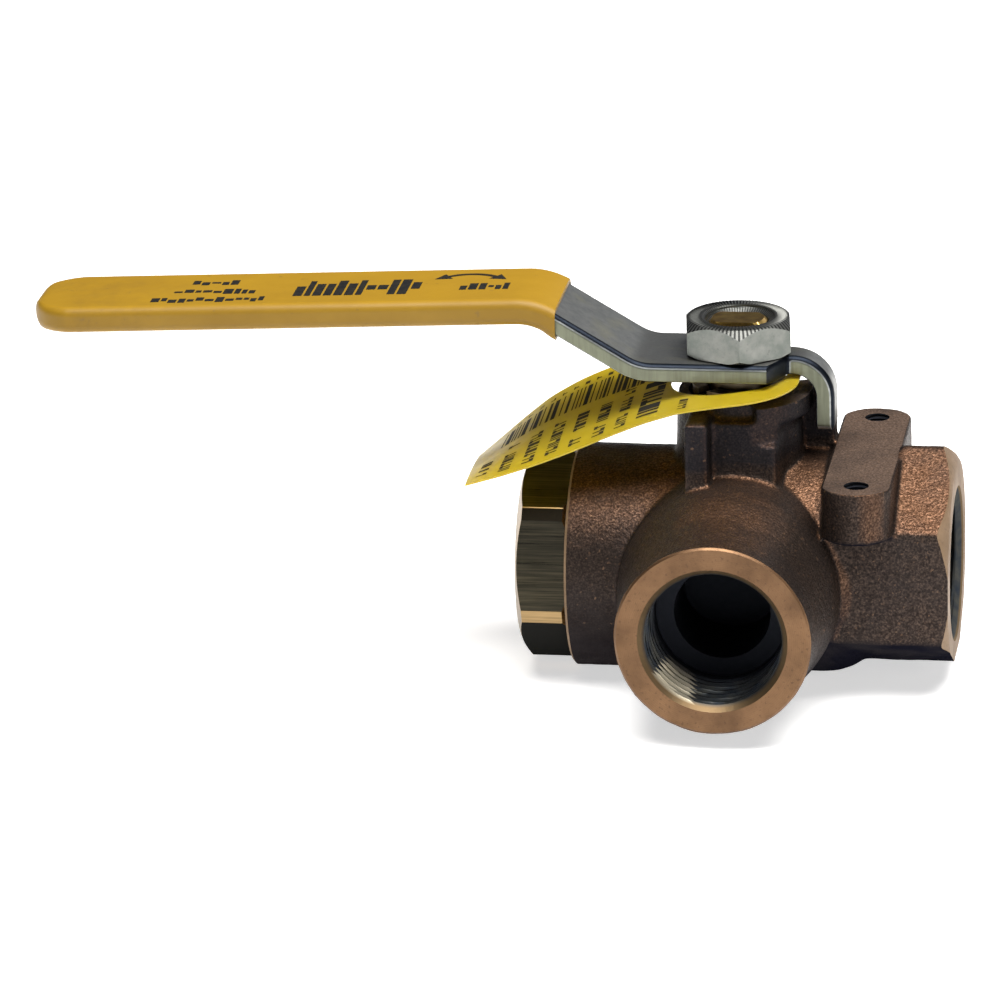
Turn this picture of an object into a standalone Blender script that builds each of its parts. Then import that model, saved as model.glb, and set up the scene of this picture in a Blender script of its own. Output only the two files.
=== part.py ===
"""A three way ball valve with 3/4 inch taper pipe ports, modelled as its separate pieces.

The origin is the centre of the ball, where the port axes and the stem axis cross.
+X points along the run to the cast hexagonal end, -Y points out of the branch and
+Z points up the stem. Lengths are given in millimetres and scaled to metres when a
mesh is made. The handle is at rest over the run, pointing to -X.
"""

import math

import bmesh
import bpy
import numpy as np
from mathutils import Matrix, Vector

MM = 0.001
MERGE = 0.00001          # metres
GAP = 0.3                # left between pieces that touch
ROUND = 40               # sides of a large round piece
SMALL_ROUND = 24         # sides of a small one

# Ports, for 3/4 inch pipe
PORT_RADIUS = 12.1       # over the thread crests
PORT_MOUTH_RADIUS = 12.5 # where the thread starts, inside the chamfer
PORT_CHAMFER_RADIUS = 13.7
RUN_CHAMFER_RADIUS = 14.5  # the cast run port has a wider one
PORT_CHAMFER_DEPTH = 1.2
PORT_DEPTH = 15.0
PORT_STEP = 1.6          # length of the cone down to the waterway
WATERWAY_RADIUS = 8.7

# Body
RUN_HALF = 40.3          # from the stem axis to either run face
BRANCH_REACH = 45.2      # from the stem axis to the branch face
BARREL_RADIUS = 20.9
BARREL_RIGHT = 26.5      # where the round barrel gives way to the hexagon
BARREL_ROUNDING = [(2.3, 0.0), (0.5, 1.5), (0.0, 4.0)]  # cut from its radius, by length
BODY_CHAMFER = 0.8
BODY_LEFT = -30.6        # where the body ends and the retainer's hexagon starts
HEX_CORNER = 21.9
HEX_ROUND_RADIUS = 21.6  # its corners are rounded down to this
HEX_RISE = 1.2           # of its centre above the run axis
HEX_FACE_RADIUS = 19.3   # of the end chamfer where it meets the run face
HEX_CHAMFER_RADIUS = 23.3
HEX_CHAMFER = 2.6        # length of the chamfer between those two radii
HEX_START = 18.0
HEX_UNDERSIDE = -17.2    # a flat spot under it
UNDERSIDE_START = 27.5
UNDERSIDE_HALF = 9.0
BRANCH_TIP_RADIUS = 17.9
BRANCH_TIP_CHAMFER = 0.7
BRANCH_TIP_LENGTH = 4.0  # nearly straight
BRANCH_ROOT_RADIUS = 20.2
BRANCH_ROOT = 25.0       # the taper ends here, measured from the stem axis
CAVITY_RADIUS = 15.6
CAVITY_RIGHT = 17.2
THREAD_BORE_RADIUS = 17.0
SHOULDER_X = -18.2       # step between the cavity and the retainer's thread

# End retainer, 1 3/8 inch across flats with its corners turned off
RETAINER_ACROSS = 34.9
RETAINER_CORNER = 19.4
RETAINER_TURN = -11.2    # of its hexagon about the run, in degrees
RETAINER_FACE_RADIUS = 17.1
RETAINER_CHAMFER = 1.3
NOSE_RADIUS = 15.3
NOSE_X = -17.2
SEAL_WIDTH = 1.0

# Neck and stops
NECK_RADIUS = 11.5
NECK_TOP = 33.4
NECK_TIP_RADIUS = 10.6
NECK_CHAMFER = 2.7
NECK_ROOT = 17.0
FRONT_STOP_REACH = 18.3
REAR_STOP_REACH = 17.3
STOP_NEAR = 3.7          # side of a stop that the tab meets
STOP_FAR = 8.0
STOP_INNER = 6.0         # where a stop leaves the neck
STOP_TOP = 31.8
REAR_STOP_TOP = 32.3
FRONT_STOP_ROOT = 10.0
REAR_STOP_ROOT = 16.0
RIM_RADIUS = 13.4
RIM_ANGLES = (-66, 22)
RIM_BOTTOM = 29.8
RIM_TOP = 33.35
PANEL_LEFT = -7.0        # the flat in front of the neck, between the post and the pad
PANEL_RIGHT = 6.0
PANEL_FRONT = -13.0
PANEL_ROOT = 12.0
PANEL_TOP = 30.6

# Mounting pad
PAD_X = 23.7
PAD_WIDTH = 12.9
PAD_HOLE_Y = 19.7
PAD_HOLE_RADIUS = 2.4
PAD_HOLE_DEPTH = 8.0
PAD_TOP = 21.6
PAD_END = 5.6            # from a hole's centre to the end of its ear
EAR_DEPTH = 9.8

# Stem and its packing
STEM_RADIUS = 6.0
STEM_THREAD_RADIUS = 5.5
STEM_FLAT = 3.2          # half the distance across the two flats
STEM_TOP = 47.1
STEM_CHAMFER = 0.7
STEM_RELIEF = 0.6        # the shank stops this far under the lever
SHOULDER_RADIUS = 7.6
SHOULDER_TOP = 18.6
STEM_STEP = 20.4         # underside of the step that keeps the stem in
STEM_BORE_END = 5.0
TANG_HALF = 6.4
PACKING_RADIUS = 8.6
PACKING_FLOOR = 21.6
RING_HEIGHT = 2.3
CHEVRON = 0.8
GLAND_TOP = 34.9
SPANNER_SLOT_HALF = 1.2
SPANNER_SLOT_DEPTH = 1.3

# Ball
BALL_RADIUS = 14.9
SLOT_FLOOR = 11.0
SLOT_HALF = 2.8
SEAT_BORE = 9.4
SEAT_FRONT = 8.2
SEAT_LIP_RADIUS = 13.2   # the cone on the ball runs from here
SEAT_BORE_FRONT = 12.1   # to the bore, this far out

# Lever, a bent strip
METAL = 3.4              # thickness
METAL_WIDTH = 20.3
PLATE_TOP = 40.8
TAB_INNER = 14.7
TAB_BOTTOM = 26.7
TAB_FRONT = -3.4
TAB_BACK = 3.4
NECKING_FRONT = [(6.6, -10.15), (9.9, TAB_FRONT)]
NECKING_BACK = [(9.6, TAB_BACK), (7.2, 5.8), (3.0, 10.15)]
LEVER_TIP_X = -130.8
TIP_CORNER = 8.0
LEVER_BENDS = (12.0, 10.0, 6.2)
GRIP_BEND = (-36.6, 50.4)
HUB_BEND_X = -17.8
GRIP_SLOPE = 0.042

# Grip sleeve
SLEEVE_WALL = 0.6
SLEEVE_GAP = 0.2
SLEEVE_TIP_X = -131.8
SLEEVE_END_X = -33.4

# Handle nut, 3/4 inch across flats
NUT_ACROSS = 19.05
NUT_HEIGHT = 6.7
NUT_HOLE_RADIUS = 5.8
NUT_FACE_RADIUS = 9.3
NUT_CHAMFER = 1.8        # at a corner
NUT_TURN = -82.0         # a corner points almost straight along the branch

# Identification tag: heights of its two long edges above the port axes, by X
TAG_HALF_WIDTH = 18.0
TAG_THICKNESS = 0.4
TAG_RIGHT = 11.7
TAG_NEAR_LEFT = -48.9
TAG_FAR_LEFT = -52.0
TAG_HOLE_X = -1.7
TAG_HOLE_RADIUS = 10.8
TAG_CORNER = 13.0
TAG_NEAR_EDGE = [
    (-49, 19.1), (-42, 21.2), (-35, 23.7), (-29, 26.2), (-23, 28.9), (-16, 31.9),
    (-9, 34.2), (0, 35.7), (13, 36.5),
]
TAG_FAR_EDGE = [
    (-52, 12.4), (-48, 15.9), (-43, 20.4), (-38, 24.6), (-32, 28.2), (-27, 30.5),
    (-13, 35.4), (0, 36.0), (13, 36.4),
]

AXIS_TURN = {
    "Z": (0.0, 0.0, 0.0),
    "X": (0.0, math.pi / 2, 0.0),
    "-X": (0.0, -math.pi / 2, 0.0),
    "-Y": (math.pi / 2, 0.0, 0.0),
}


def clear_scene():
    for obj in list(bpy.data.objects):
        bpy.data.objects.remove(obj, do_unlink=True)


def make_collection(name):
    collection = bpy.data.collections.new(name)
    bpy.context.scene.collection.children.link(collection)
    return collection


def make_material(name, colour, roughness, metallic):
    material = bpy.data.materials.new(name)
    material.use_nodes = True
    shader = material.node_tree.nodes["Principled BSDF"]
    shader.inputs["Base Color"].default_value = (*colour, 1.0)
    shader.inputs["Roughness"].default_value = roughness
    shader.inputs["Metallic"].default_value = metallic
    material.diffuse_color = (*colour, 1.0)
    return material


def link(name, data):
    """A new object among the cutters, where it stays unless finish() makes it a part."""
    obj = bpy.data.objects.new(name, data)
    cutters.objects.link(obj)
    obj.hide_render = True
    obj.display_type = "WIRE"
    return obj


def finish(obj, material, sharp_angle=35):
    """Move an object to the parts' collection with its own material and shading."""
    cutters.objects.unlink(obj)
    parts.objects.link(obj)
    obj.hide_render = False
    obj.display_type = "TEXTURED"
    obj.data.materials.clear()
    obj.data.materials.append(material)
    obj.data.shade_smooth()
    obj.data.set_sharp_from_angle(angle=math.radians(sharp_angle))
    return obj


def mesh_from(name, bm):
    mesh = bpy.data.meshes.new(name)
    bm.to_mesh(mesh)
    bm.free()
    return mesh


def turned(name, profile, axis="Z", sides=ROUND):
    """A solid of revolution. The profile runs (radius, height) down the outer side."""
    mesh = bpy.data.meshes.new(name)
    points = [(radius * MM, 0.0, height * MM) for radius, height in profile]
    edges = [(i, i + 1) for i in range(len(points) - 1)]
    if profile[0][0] > 0:
        edges.append((len(points) - 1, 0))
    mesh.from_pydata(points, edges, [])
    obj = link(name, mesh)
    screw = obj.modifiers.new("turn", "SCREW")
    screw.steps = screw.render_steps = sides
    screw.use_merge_vertices = True
    screw.merge_threshold = MERGE
    obj.rotation_euler = AXIS_TURN[axis]
    return apply_all(obj)


def ring(name, inner, outer, low, high, axis="Z", sides=ROUND):
    return turned(name, [(outer, high), (outer, low), (inner, low), (inner, high)], axis, sides)


def rod(name, radius, low, high, axis="Z", sides=ROUND):
    return turned(name, [(0, high), (radius, high), (radius, low), (0, low)], axis, sides)


def sphere(name, radius, steps):
    profile = [(0, radius)]
    for i in range(1, steps):
        t = math.pi * i / steps
        profile.append((radius * math.sin(t), radius * math.cos(t)))
    profile.append((0, -radius))
    return turned(name, profile)


def box(name, low, high):
    bm = bmesh.new()
    size = [(b - a) * MM for a, b in zip(low, high)]
    middle = [(a + b) / 2 * MM for a, b in zip(low, high)]
    bmesh.ops.create_cube(bm, size=1.0, matrix=Matrix.LocRotScale(middle, None, size))
    return link(name, mesh_from(name, bm))


def prism(name, corner_radius, low, high, sides, turn=0.0, axis="Z"):
    """A regular prism along Z; turn is the angle of its first corner from +X."""
    bm = bmesh.new()
    bmesh.ops.create_cone(
        bm, cap_ends=True, segments=sides, radius1=corner_radius * MM,
        radius2=corner_radius * MM, depth=(high - low) * MM,
    )
    first = math.radians(turn - 90)
    bmesh.ops.rotate(bm, verts=bm.verts, matrix=Matrix.Rotation(first, 3, "Z"))
    bmesh.ops.translate(bm, verts=bm.verts, vec=(0, 0, (low + high) / 2 * MM))
    obj = link(name, mesh_from(name, bm))
    obj.rotation_euler = AXIS_TURN[axis]
    return apply_all(obj)


def extruded(name, outline, low, high, plane):
    """A flat outline made solid: an "XY" outline runs from low to high along Z, an
    "XZ" one along Y."""
    curve = bpy.data.curves.new(name, "CURVE")
    curve.dimensions = "2D"
    curve.fill_mode = "BOTH"
    curve.extrude = (high - low) / 2 * MM
    spline = curve.splines.new("POLY")
    spline.points.add(len(outline) - 1)
    for point, (a, b) in zip(spline.points, outline):
        point.co = (a * MM, b * MM, 0.0, 1.0)
    spline.use_cyclic_u = True
    flat = link(name, curve)
    middle = (low + high) / 2 * MM
    if plane == "XZ":
        flat.rotation_euler = (math.pi / 2, 0, 0)
        flat.location = (0, middle, 0)
    else:
        flat.location = (0, 0, middle)
    bpy.context.view_layer.update()
    graph = bpy.context.evaluated_depsgraph_get()
    mesh = bpy.data.meshes.new_from_object(flat.evaluated_get(graph))
    mesh.transform(flat.matrix_world)
    bpy.data.objects.remove(flat, do_unlink=True)
    bm = bmesh.new()
    bm.from_mesh(mesh)
    bmesh.ops.remove_doubles(bm, verts=bm.verts, dist=MERGE)
    bmesh.ops.recalc_face_normals(bm, faces=bm.faces)
    bm.to_mesh(mesh)
    bm.free()
    return link(name, mesh)


def apply_all(obj):
    """Replace an object's mesh by its evaluated shape, in world space."""
    bpy.context.view_layer.update()
    graph = bpy.context.evaluated_depsgraph_get()
    mesh = bpy.data.meshes.new_from_object(obj.evaluated_get(graph))
    mesh.transform(obj.matrix_world)
    old = obj.data
    obj.modifiers.clear()
    obj.data = mesh
    obj.matrix_world = Matrix.Identity(4)
    bpy.data.meshes.remove(old)
    mesh.name = obj.name
    return obj


def combine(obj, operation, *others):
    """Join, cut or intersect with the other objects, which are used up."""
    for other in others:
        modifier = obj.modifiers.new(operation.lower(), "BOOLEAN")
        modifier.operation = operation
        modifier.solver = "EXACT"
        modifier.object = other
        apply_all(obj)
        bpy.data.objects.remove(other, do_unlink=True)
    return obj


def rounded_path(corners, radii, steps=8):
    """A polyline through corners, with an arc of the given radius at each inner one."""
    path = [Vector(corners[0])]
    for before, corner, after, radius in zip(corners, corners[1:], corners[2:], radii):
        a = (Vector(before) - Vector(corner)).normalized()
        b = (Vector(after) - Vector(corner)).normalized()
        half = a.angle(b) / 2
        centre = Vector(corner) + (a + b).normalized() * (radius / math.sin(half))
        start = Vector(corner) + a * (radius / math.tan(half)) - centre
        end = Vector(corner) + b * (radius / math.tan(half)) - centre
        sweep = start.angle_signed(end)
        for i in range(steps + 1):
            path.append(centre + Matrix.Rotation(-sweep * i / steps, 2) @ start)
    path.append(Vector(corners[-1]))
    return path


def strip_outline(path, thickness):
    """The outline of a strip of even thickness centred on a path."""
    above, below = [], []
    for i, point in enumerate(path):
        ahead = (path[min(i + 1, len(path) - 1)] - path[max(i - 1, 0)]).normalized()
        side = Vector((-ahead.y, ahead.x))
        above.append(point + side * thickness / 2)
        below.append(point - side * thickness / 2)
    return [tuple(p) for p in above + below[::-1]]


def arc(centre, radius, start, end, steps=8):
    """Points on an arc between two angles, in degrees."""
    angles = [math.radians(start + (end - start) * i / steps) for i in range(steps + 1)]
    return [(centre[0] + radius * math.cos(t), centre[1] + radius * math.sin(t)) for t in angles]


def lever_path(tip_x, foot_z):
    """Centre line of the bent strip, in X and Z, from the grip's tip to the tab's foot."""
    plate = PLATE_TOP - METAL / 2
    tip_z = GRIP_BEND[1] + GRIP_SLOPE * (tip_x - GRIP_BEND[0])
    fold = TAB_INNER + METAL / 2
    corners = [(tip_x, tip_z), GRIP_BEND, (HUB_BEND_X, plate), (fold, plate), (fold, foot_z)]
    return rounded_path(corners, LEVER_BENDS)


def rounded_end(tip_x, half_width, corner, end_x):
    """Plan outline of a bar from a rounded tip at tip_x to a square end at end_x."""
    x = tip_x + corner
    y = half_width - corner
    return (
        [(end_x, -half_width)] + arc((x, -y), corner, 270, 180)
        + arc((x, y), corner, 180, 90) + [(end_x, half_width)]
    )


def port_cutter(axis, mouth, chamfer_radius):
    """A chamfered thread bore with the waterway behind it."""
    floor = mouth - PORT_DEPTH
    return turned("port_cutter", [
        (0, mouth + 1), (chamfer_radius, mouth + 1), (chamfer_radius, mouth),
        (PORT_MOUTH_RADIUS, mouth - PORT_CHAMFER_DEPTH), (PORT_RADIUS, floor),
        (WATERWAY_RADIUS, floor - PORT_STEP), (WATERWAY_RADIUS, 1), (0, 1),
    ], axis)


def make_pad():
    """The cross bar over the barrel, with a rounded ear at each end for a tapped hole."""
    half = PAD_WIDTH / 2
    outline = []
    for side in (1, -1):
        for x, y in arc((0, 0), 1, 0, 180, 10):
            outline.append((PAD_X + side * x * half, side * (PAD_HOLE_Y + y * PAD_END)))
    return extruded("pad", outline, PAD_TOP - EAR_DEPTH, PAD_TOP, "XY")


def make_hexagon():
    """The cast hexagonal end: a corner on top, a pad sunk into it, a chamfered end."""
    hexagon = prism("hexagon", HEX_CORNER, HEX_START, RUN_HALF + 1, 6, 0.0, "X")
    combine(hexagon, "INTERSECT", rod(
        "corner_rounding", HEX_ROUND_RADIUS, HEX_START - 1, RUN_HALF + 2, "X"))
    hexagon.location = (0, 0, HEX_RISE * MM)
    apply_all(hexagon)
    combine(hexagon, "INTERSECT", turned("end_chamfer", [
        (0, RUN_HALF), (HEX_FACE_RADIUS, RUN_HALF), (HEX_CHAMFER_RADIUS, RUN_HALF - HEX_CHAMFER),
        (HEX_CHAMFER_RADIUS, HEX_START - 1), (0, HEX_START - 1),
    ], "X"))
    low = (UNDERSIDE_START, -UNDERSIDE_HALF, -HEX_CORNER - 1)
    below = box("below", low, (RUN_HALF + 1, UNDERSIDE_HALF, HEX_UNDERSIDE))
    pad_right = PAD_X + PAD_WIDTH / 2
    above = box("above", (HEX_START - 1, -9, PAD_TOP - 1), (pad_right, 9, HEX_CORNER + 5))
    return combine(hexagon, "DIFFERENCE", below, above)


def make_body(material):
    """The cast body: barrel, hexagonal end, branch, neck with its stops, mounting pad."""
    body = turned("body_casting", [(0, BARREL_RIGHT)] + [
        (BARREL_RADIUS - cut, BARREL_RIGHT - length) for cut, length in BARREL_ROUNDING
    ] + [
        (BARREL_RADIUS, BODY_LEFT + BODY_CHAMFER), (BARREL_RADIUS - BODY_CHAMFER, BODY_LEFT),
        (0, BODY_LEFT),
    ], "X")
    branch = turned("branch", [
        (0, BRANCH_REACH), (BRANCH_TIP_RADIUS - BRANCH_TIP_CHAMFER, BRANCH_REACH),
        (BRANCH_TIP_RADIUS, BRANCH_REACH - BRANCH_TIP_CHAMFER),
        (BRANCH_TIP_RADIUS + 0.1, BRANCH_REACH - BRANCH_TIP_LENGTH),
        (BRANCH_ROOT_RADIUS, BRANCH_ROOT), (BRANCH_ROOT_RADIUS, 1), (0, 1),
    ], "-Y")
    neck = turned("neck", [
        (0, NECK_TOP), (NECK_TIP_RADIUS, NECK_TOP), (NECK_RADIUS, NECK_TOP - NECK_CHAMFER),
        (NECK_RADIUS, NECK_ROOT), (0, NECK_ROOT),
    ])
    rim_outline = [(0, 0)] + arc((0, 0), RIM_RADIUS, *RIM_ANGLES, 12)
    rim = extruded("rim", rim_outline, RIM_BOTTOM, RIM_TOP, "XY")
    front_stop = box(
        "front_stop", (-STOP_FAR, -FRONT_STOP_REACH, FRONT_STOP_ROOT),
        (-STOP_NEAR, -STOP_INNER, STOP_TOP))
    rear_stop = box(
        "rear_stop", (STOP_INNER, STOP_NEAR, REAR_STOP_ROOT),
        (REAR_STOP_REACH, STOP_FAR, REAR_STOP_TOP))
    panel = box(
        "panel", (PANEL_LEFT, PANEL_FRONT, PANEL_ROOT), (PANEL_RIGHT, -STOP_INNER, PANEL_TOP))
    combine(
        body, "UNION", make_hexagon(), branch, neck, rim, front_stop, rear_stop, panel, make_pad())
    combine(
        body, "DIFFERENCE", port_cutter("X", RUN_HALF, RUN_CHAMFER_RADIUS),
        port_cutter("-Y", BRANCH_REACH, PORT_CHAMFER_RADIUS))
    combine(body, "DIFFERENCE", turned("cavity_cutter", [
        (0, CAVITY_RIGHT), (CAVITY_RADIUS, CAVITY_RIGHT), (CAVITY_RADIUS, SHOULDER_X),
        (THREAD_BORE_RADIUS, SHOULDER_X), (THREAD_BORE_RADIUS, BODY_LEFT - 1),
        (0, BODY_LEFT - 1),
    ], "X"))
    combine(body, "DIFFERENCE", turned("stem_cutter", [
        (0, NECK_TOP + 1), (PACKING_RADIUS + GAP, NECK_TOP + 1),
        (PACKING_RADIUS + GAP, PACKING_FLOOR), (STEM_RADIUS + GAP, PACKING_FLOOR),
        (STEM_RADIUS + GAP, STEM_STEP), (SHOULDER_RADIUS + GAP, STEM_STEP),
        (SHOULDER_RADIUS + GAP, STEM_BORE_END), (0, STEM_BORE_END),
    ]))
    for side in (-1, 1):
        floor = PAD_TOP - PAD_HOLE_DEPTH
        hole = rod("pad_hole", PAD_HOLE_RADIUS, floor, PAD_TOP + 1, sides=SMALL_ROUND)
        hole.location = (PAD_X * MM, side * PAD_HOLE_Y * MM, 0)
        combine(body, "DIFFERENCE", apply_all(hole))
    return finish(body, material, 30)


def make_retainer(material):
    """The end retainer: a threaded shank in the body and a hexagonal end with a port."""
    corner = RETAINER_ACROSS / 2 / math.cos(math.pi / 6)
    hex_right = BODY_LEFT - GAP
    face = -RUN_HALF
    retainer = prism("end_retainer", corner, face - 1, hex_right, 6, RETAINER_TURN, "X")
    combine(retainer, "INTERSECT", turned("corner_turner", [
        (0, hex_right + 1), (RETAINER_CORNER, hex_right + 1),
        (RETAINER_CORNER, face + RETAINER_CHAMFER), (RETAINER_FACE_RADIUS, face), (0, face),
    ], "X"))
    shank = THREAD_BORE_RADIUS - GAP
    seal_seat = SHOULDER_X - SEAL_WIDTH - 2 * GAP
    combine(retainer, "UNION", turned("shank", [
        (0, NOSE_X), (NOSE_RADIUS, NOSE_X), (NOSE_RADIUS, seal_seat), (shank, seal_seat),
        (shank, hex_right - 5), (0, hex_right - 5),
    ], "X"))
    combine(retainer, "DIFFERENCE", turned("retainer_bore", [
        (0, NOSE_X + 1), (WATERWAY_RADIUS, NOSE_X + 1),
        (WATERWAY_RADIUS, face + PORT_DEPTH + PORT_STEP), (PORT_RADIUS, face + PORT_DEPTH),
        (PORT_MOUTH_RADIUS, face + PORT_CHAMFER_DEPTH), (PORT_CHAMFER_RADIUS, face),
        (PORT_CHAMFER_RADIUS, face - 1), (0, face - 1),
    ], "X"))
    return finish(retainer, material, 30)


def make_seal(material):
    """The soft ring squeezed between the retainer and the body."""
    right = SHOULDER_X - GAP
    seal = ring(
        "retainer_seal", NOSE_RADIUS + GAP, THREAD_BORE_RADIUS - GAP, right - SEAL_WIDTH, right,
        "X")
    return finish(seal, material)


def make_seat(name, axis, material):
    """A seat ring: its back rests on a flat wall, its cone lies on the ball."""
    back = CAVITY_RIGHT - GAP if axis == "X" else -NOSE_X - GAP
    outer = CAVITY_RADIUS - GAP
    seat = turned(name, [
        (outer, back), (outer, SEAT_FRONT), (SEAT_LIP_RADIUS, SEAT_FRONT),
        (SEAT_BORE, SEAT_BORE_FRONT), (SEAT_BORE, back),
    ], axis)
    return finish(seat, material)


def make_ball(material):
    """The ball: an L shaped waterway from the branch to one side, a slot for the stem."""
    ball = sphere("ball", BALL_RADIUS, 24)
    elbow = rod("elbow", WATERWAY_RADIUS, 0, BALL_RADIUS + 1, "X")
    leg = rod("branch_leg", WATERWAY_RADIUS, 0, BALL_RADIUS + 1, "-Y")
    combine(elbow, "UNION", leg, sphere("knee", WATERWAY_RADIUS + 0.1, 12))
    combine(ball, "DIFFERENCE", elbow)
    combine(ball, "DIFFERENCE", box(
        "slot", (-BALL_RADIUS, -SLOT_HALF, SLOT_FLOOR), (BALL_RADIUS, SLOT_HALF, BALL_RADIUS + 1)))
    return finish(ball, material, 25)


def make_stem(material):
    """The stem: a tang in the ball's slot, a shoulder, a shank, a thread with two flats."""
    step = PLATE_TOP - METAL - STEM_RELIEF
    shoulder_bottom = BALL_RADIUS + 0.5
    stem = turned("stem", [
        (0, STEM_TOP), (STEM_THREAD_RADIUS - STEM_CHAMFER, STEM_TOP),
        (STEM_THREAD_RADIUS, STEM_TOP - STEM_CHAMFER), (STEM_THREAD_RADIUS, step),
        (STEM_RADIUS, step - 0.4), (STEM_RADIUS, SHOULDER_TOP), (SHOULDER_RADIUS, SHOULDER_TOP),
        (SHOULDER_RADIUS, shoulder_bottom), (0, shoulder_bottom),
    ])
    tang = SLOT_HALF - GAP
    combine(stem, "UNION", box(
        "tang", (-TANG_HALF, -tang, SLOT_FLOOR + GAP), (TANG_HALF, tang, shoulder_bottom + 1)))
    for side in (-1, 1):
        y = sorted((side * STEM_FLAT, side * 9))
        combine(stem, "DIFFERENCE", box("flat", (-9, y[0], step), (9, y[1], STEM_TOP + 1)))
    return finish(stem, material)


def make_chevron(name, low, high, notched, peaked, material):
    """A packing ring, notched under and peaked on top where it nests with the next."""
    inner, outer = STEM_RADIUS + GAP, PACKING_RADIUS
    middle = (inner + outer) / 2
    profile = [(outer, high), (outer, low)]
    if notched:
        profile.append((middle, low + CHEVRON))
    profile += [(inner, low), (inner, high)]
    if peaked:
        profile.append((middle, high + CHEVRON))
    return finish(turned(name, profile), material)


def make_packing(soft, metal):
    """Everything stacked round the stem, from the thrust bearing to the gland."""
    inner = STEM_RADIUS + GAP
    bearing = ring(
        "stem_thrust_bearing", inner, SHOULDER_RADIUS, SHOULDER_TOP + GAP, STEM_STEP - GAP)
    finish(bearing, soft["bearing"])
    low = PACKING_FLOOR + GAP
    rings = (("lower", False, True), ("middle", True, True), ("upper", True, False))
    for place, notched, peaked in rings:
        high = low + RING_HEIGHT
        make_chevron("packing_ring_" + place, low, high, notched, peaked, soft[place])
        low = high + GAP
    gland = ring("packing_gland", inner, PACKING_RADIUS, low, GLAND_TOP)
    for turn in (0, 90):
        half = SPANNER_SLOT_HALF
        floor = GLAND_TOP - SPANNER_SLOT_DEPTH
        slot = box("spanner_slot", (-12, -half, floor), (12, half, GLAND_TOP + 1))
        slot.rotation_euler = (0, 0, math.radians(45 + turn))
        combine(gland, "DIFFERENCE", apply_all(slot))
    finish(gland, metal)


def make_lever(material):
    """The lever: grip, double bend, hub plate and the stop tab folded down at its end."""
    half = METAL_WIDTH / 2
    outline = strip_outline(lever_path(LEVER_TIP_X, TAB_BOTTOM), METAL)
    lever = extruded("lever_plate", outline, -half, half, "XZ")
    x = LEVER_TIP_X + TIP_CORNER
    y = half - TIP_CORNER
    plan = arc((x, y), TIP_CORNER, 90, 180) + arc((x, -y), TIP_CORNER, 180, 270)
    plan += NECKING_FRONT + [(25, TAB_FRONT), (25, TAB_BACK)] + NECKING_BACK
    combine(lever, "INTERSECT", extruded("lever_plan", plan, 10, 70, "XY"))
    hole = rod("stem_hole", STEM_THREAD_RADIUS + GAP, 30, 50, sides=SMALL_ROUND)
    flat = STEM_FLAT + GAP
    combine(hole, "INTERSECT", box("hole_flats", (-9, -flat, 29), (9, flat, 51)))
    combine(lever, "DIFFERENCE", hole)
    return finish(lever, material, 30)


def sleeve_blank(name, tip_x, end_x, thickness, half_width, corner):
    """A bar that follows the lever's grip, with a rounded tip."""
    outline = strip_outline(lever_path(tip_x, TAB_BOTTOM), thickness)
    blank = extruded(name, outline, -half_width, half_width, "XZ")
    plan = rounded_end(tip_x, half_width, corner, end_x)
    return combine(blank, "INTERSECT", extruded("plan", plan, 10, 70, "XY"))


def make_sleeve(material):
    """The vinyl sleeve: a closed tip and one open end, pulled over the grip."""
    gap = SLEEVE_GAP
    wall = SLEEVE_WALL + gap
    half = METAL_WIDTH / 2
    sleeve = sleeve_blank(
        "grip_sleeve", SLEEVE_TIP_X, SLEEVE_END_X, METAL + 2 * wall, half + wall,
        TIP_CORNER + wall)
    inside = sleeve_blank(
        "sleeve_inside", LEVER_TIP_X - gap, SLEEVE_END_X + 5, METAL + 2 * gap, half + gap,
        TIP_CORNER + gap)
    combine(sleeve, "DIFFERENCE", inside)
    return finish(sleeve, material, 30)


def make_nut(material):
    """The handle nut, chamfered on top, with a corner facing the branch."""
    corner = NUT_ACROSS / 2 / math.cos(math.pi / 6)
    low = PLATE_TOP + GAP
    high = low + NUT_HEIGHT
    reach = corner + 1
    slope = NUT_CHAMFER / (corner - NUT_FACE_RADIUS)
    nut = prism("handle_nut", corner, low, high + 1, 6, NUT_TURN)
    combine(nut, "INTERSECT", turned("nut_chamfer", [
        (0, high), (NUT_FACE_RADIUS, high), (reach, high - slope * (reach - NUT_FACE_RADIUS)),
        (reach, low - 1), (0, low - 1),
    ]))
    combine(nut, "DIFFERENCE", rod("nut_hole", NUT_HOLE_RADIUS, low - 1, high + 1))
    return finish(nut, material, 30)


def edge_height(points, x):
    xs, heights = zip(*points)
    return float(np.interp(x, xs, heights))


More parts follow.
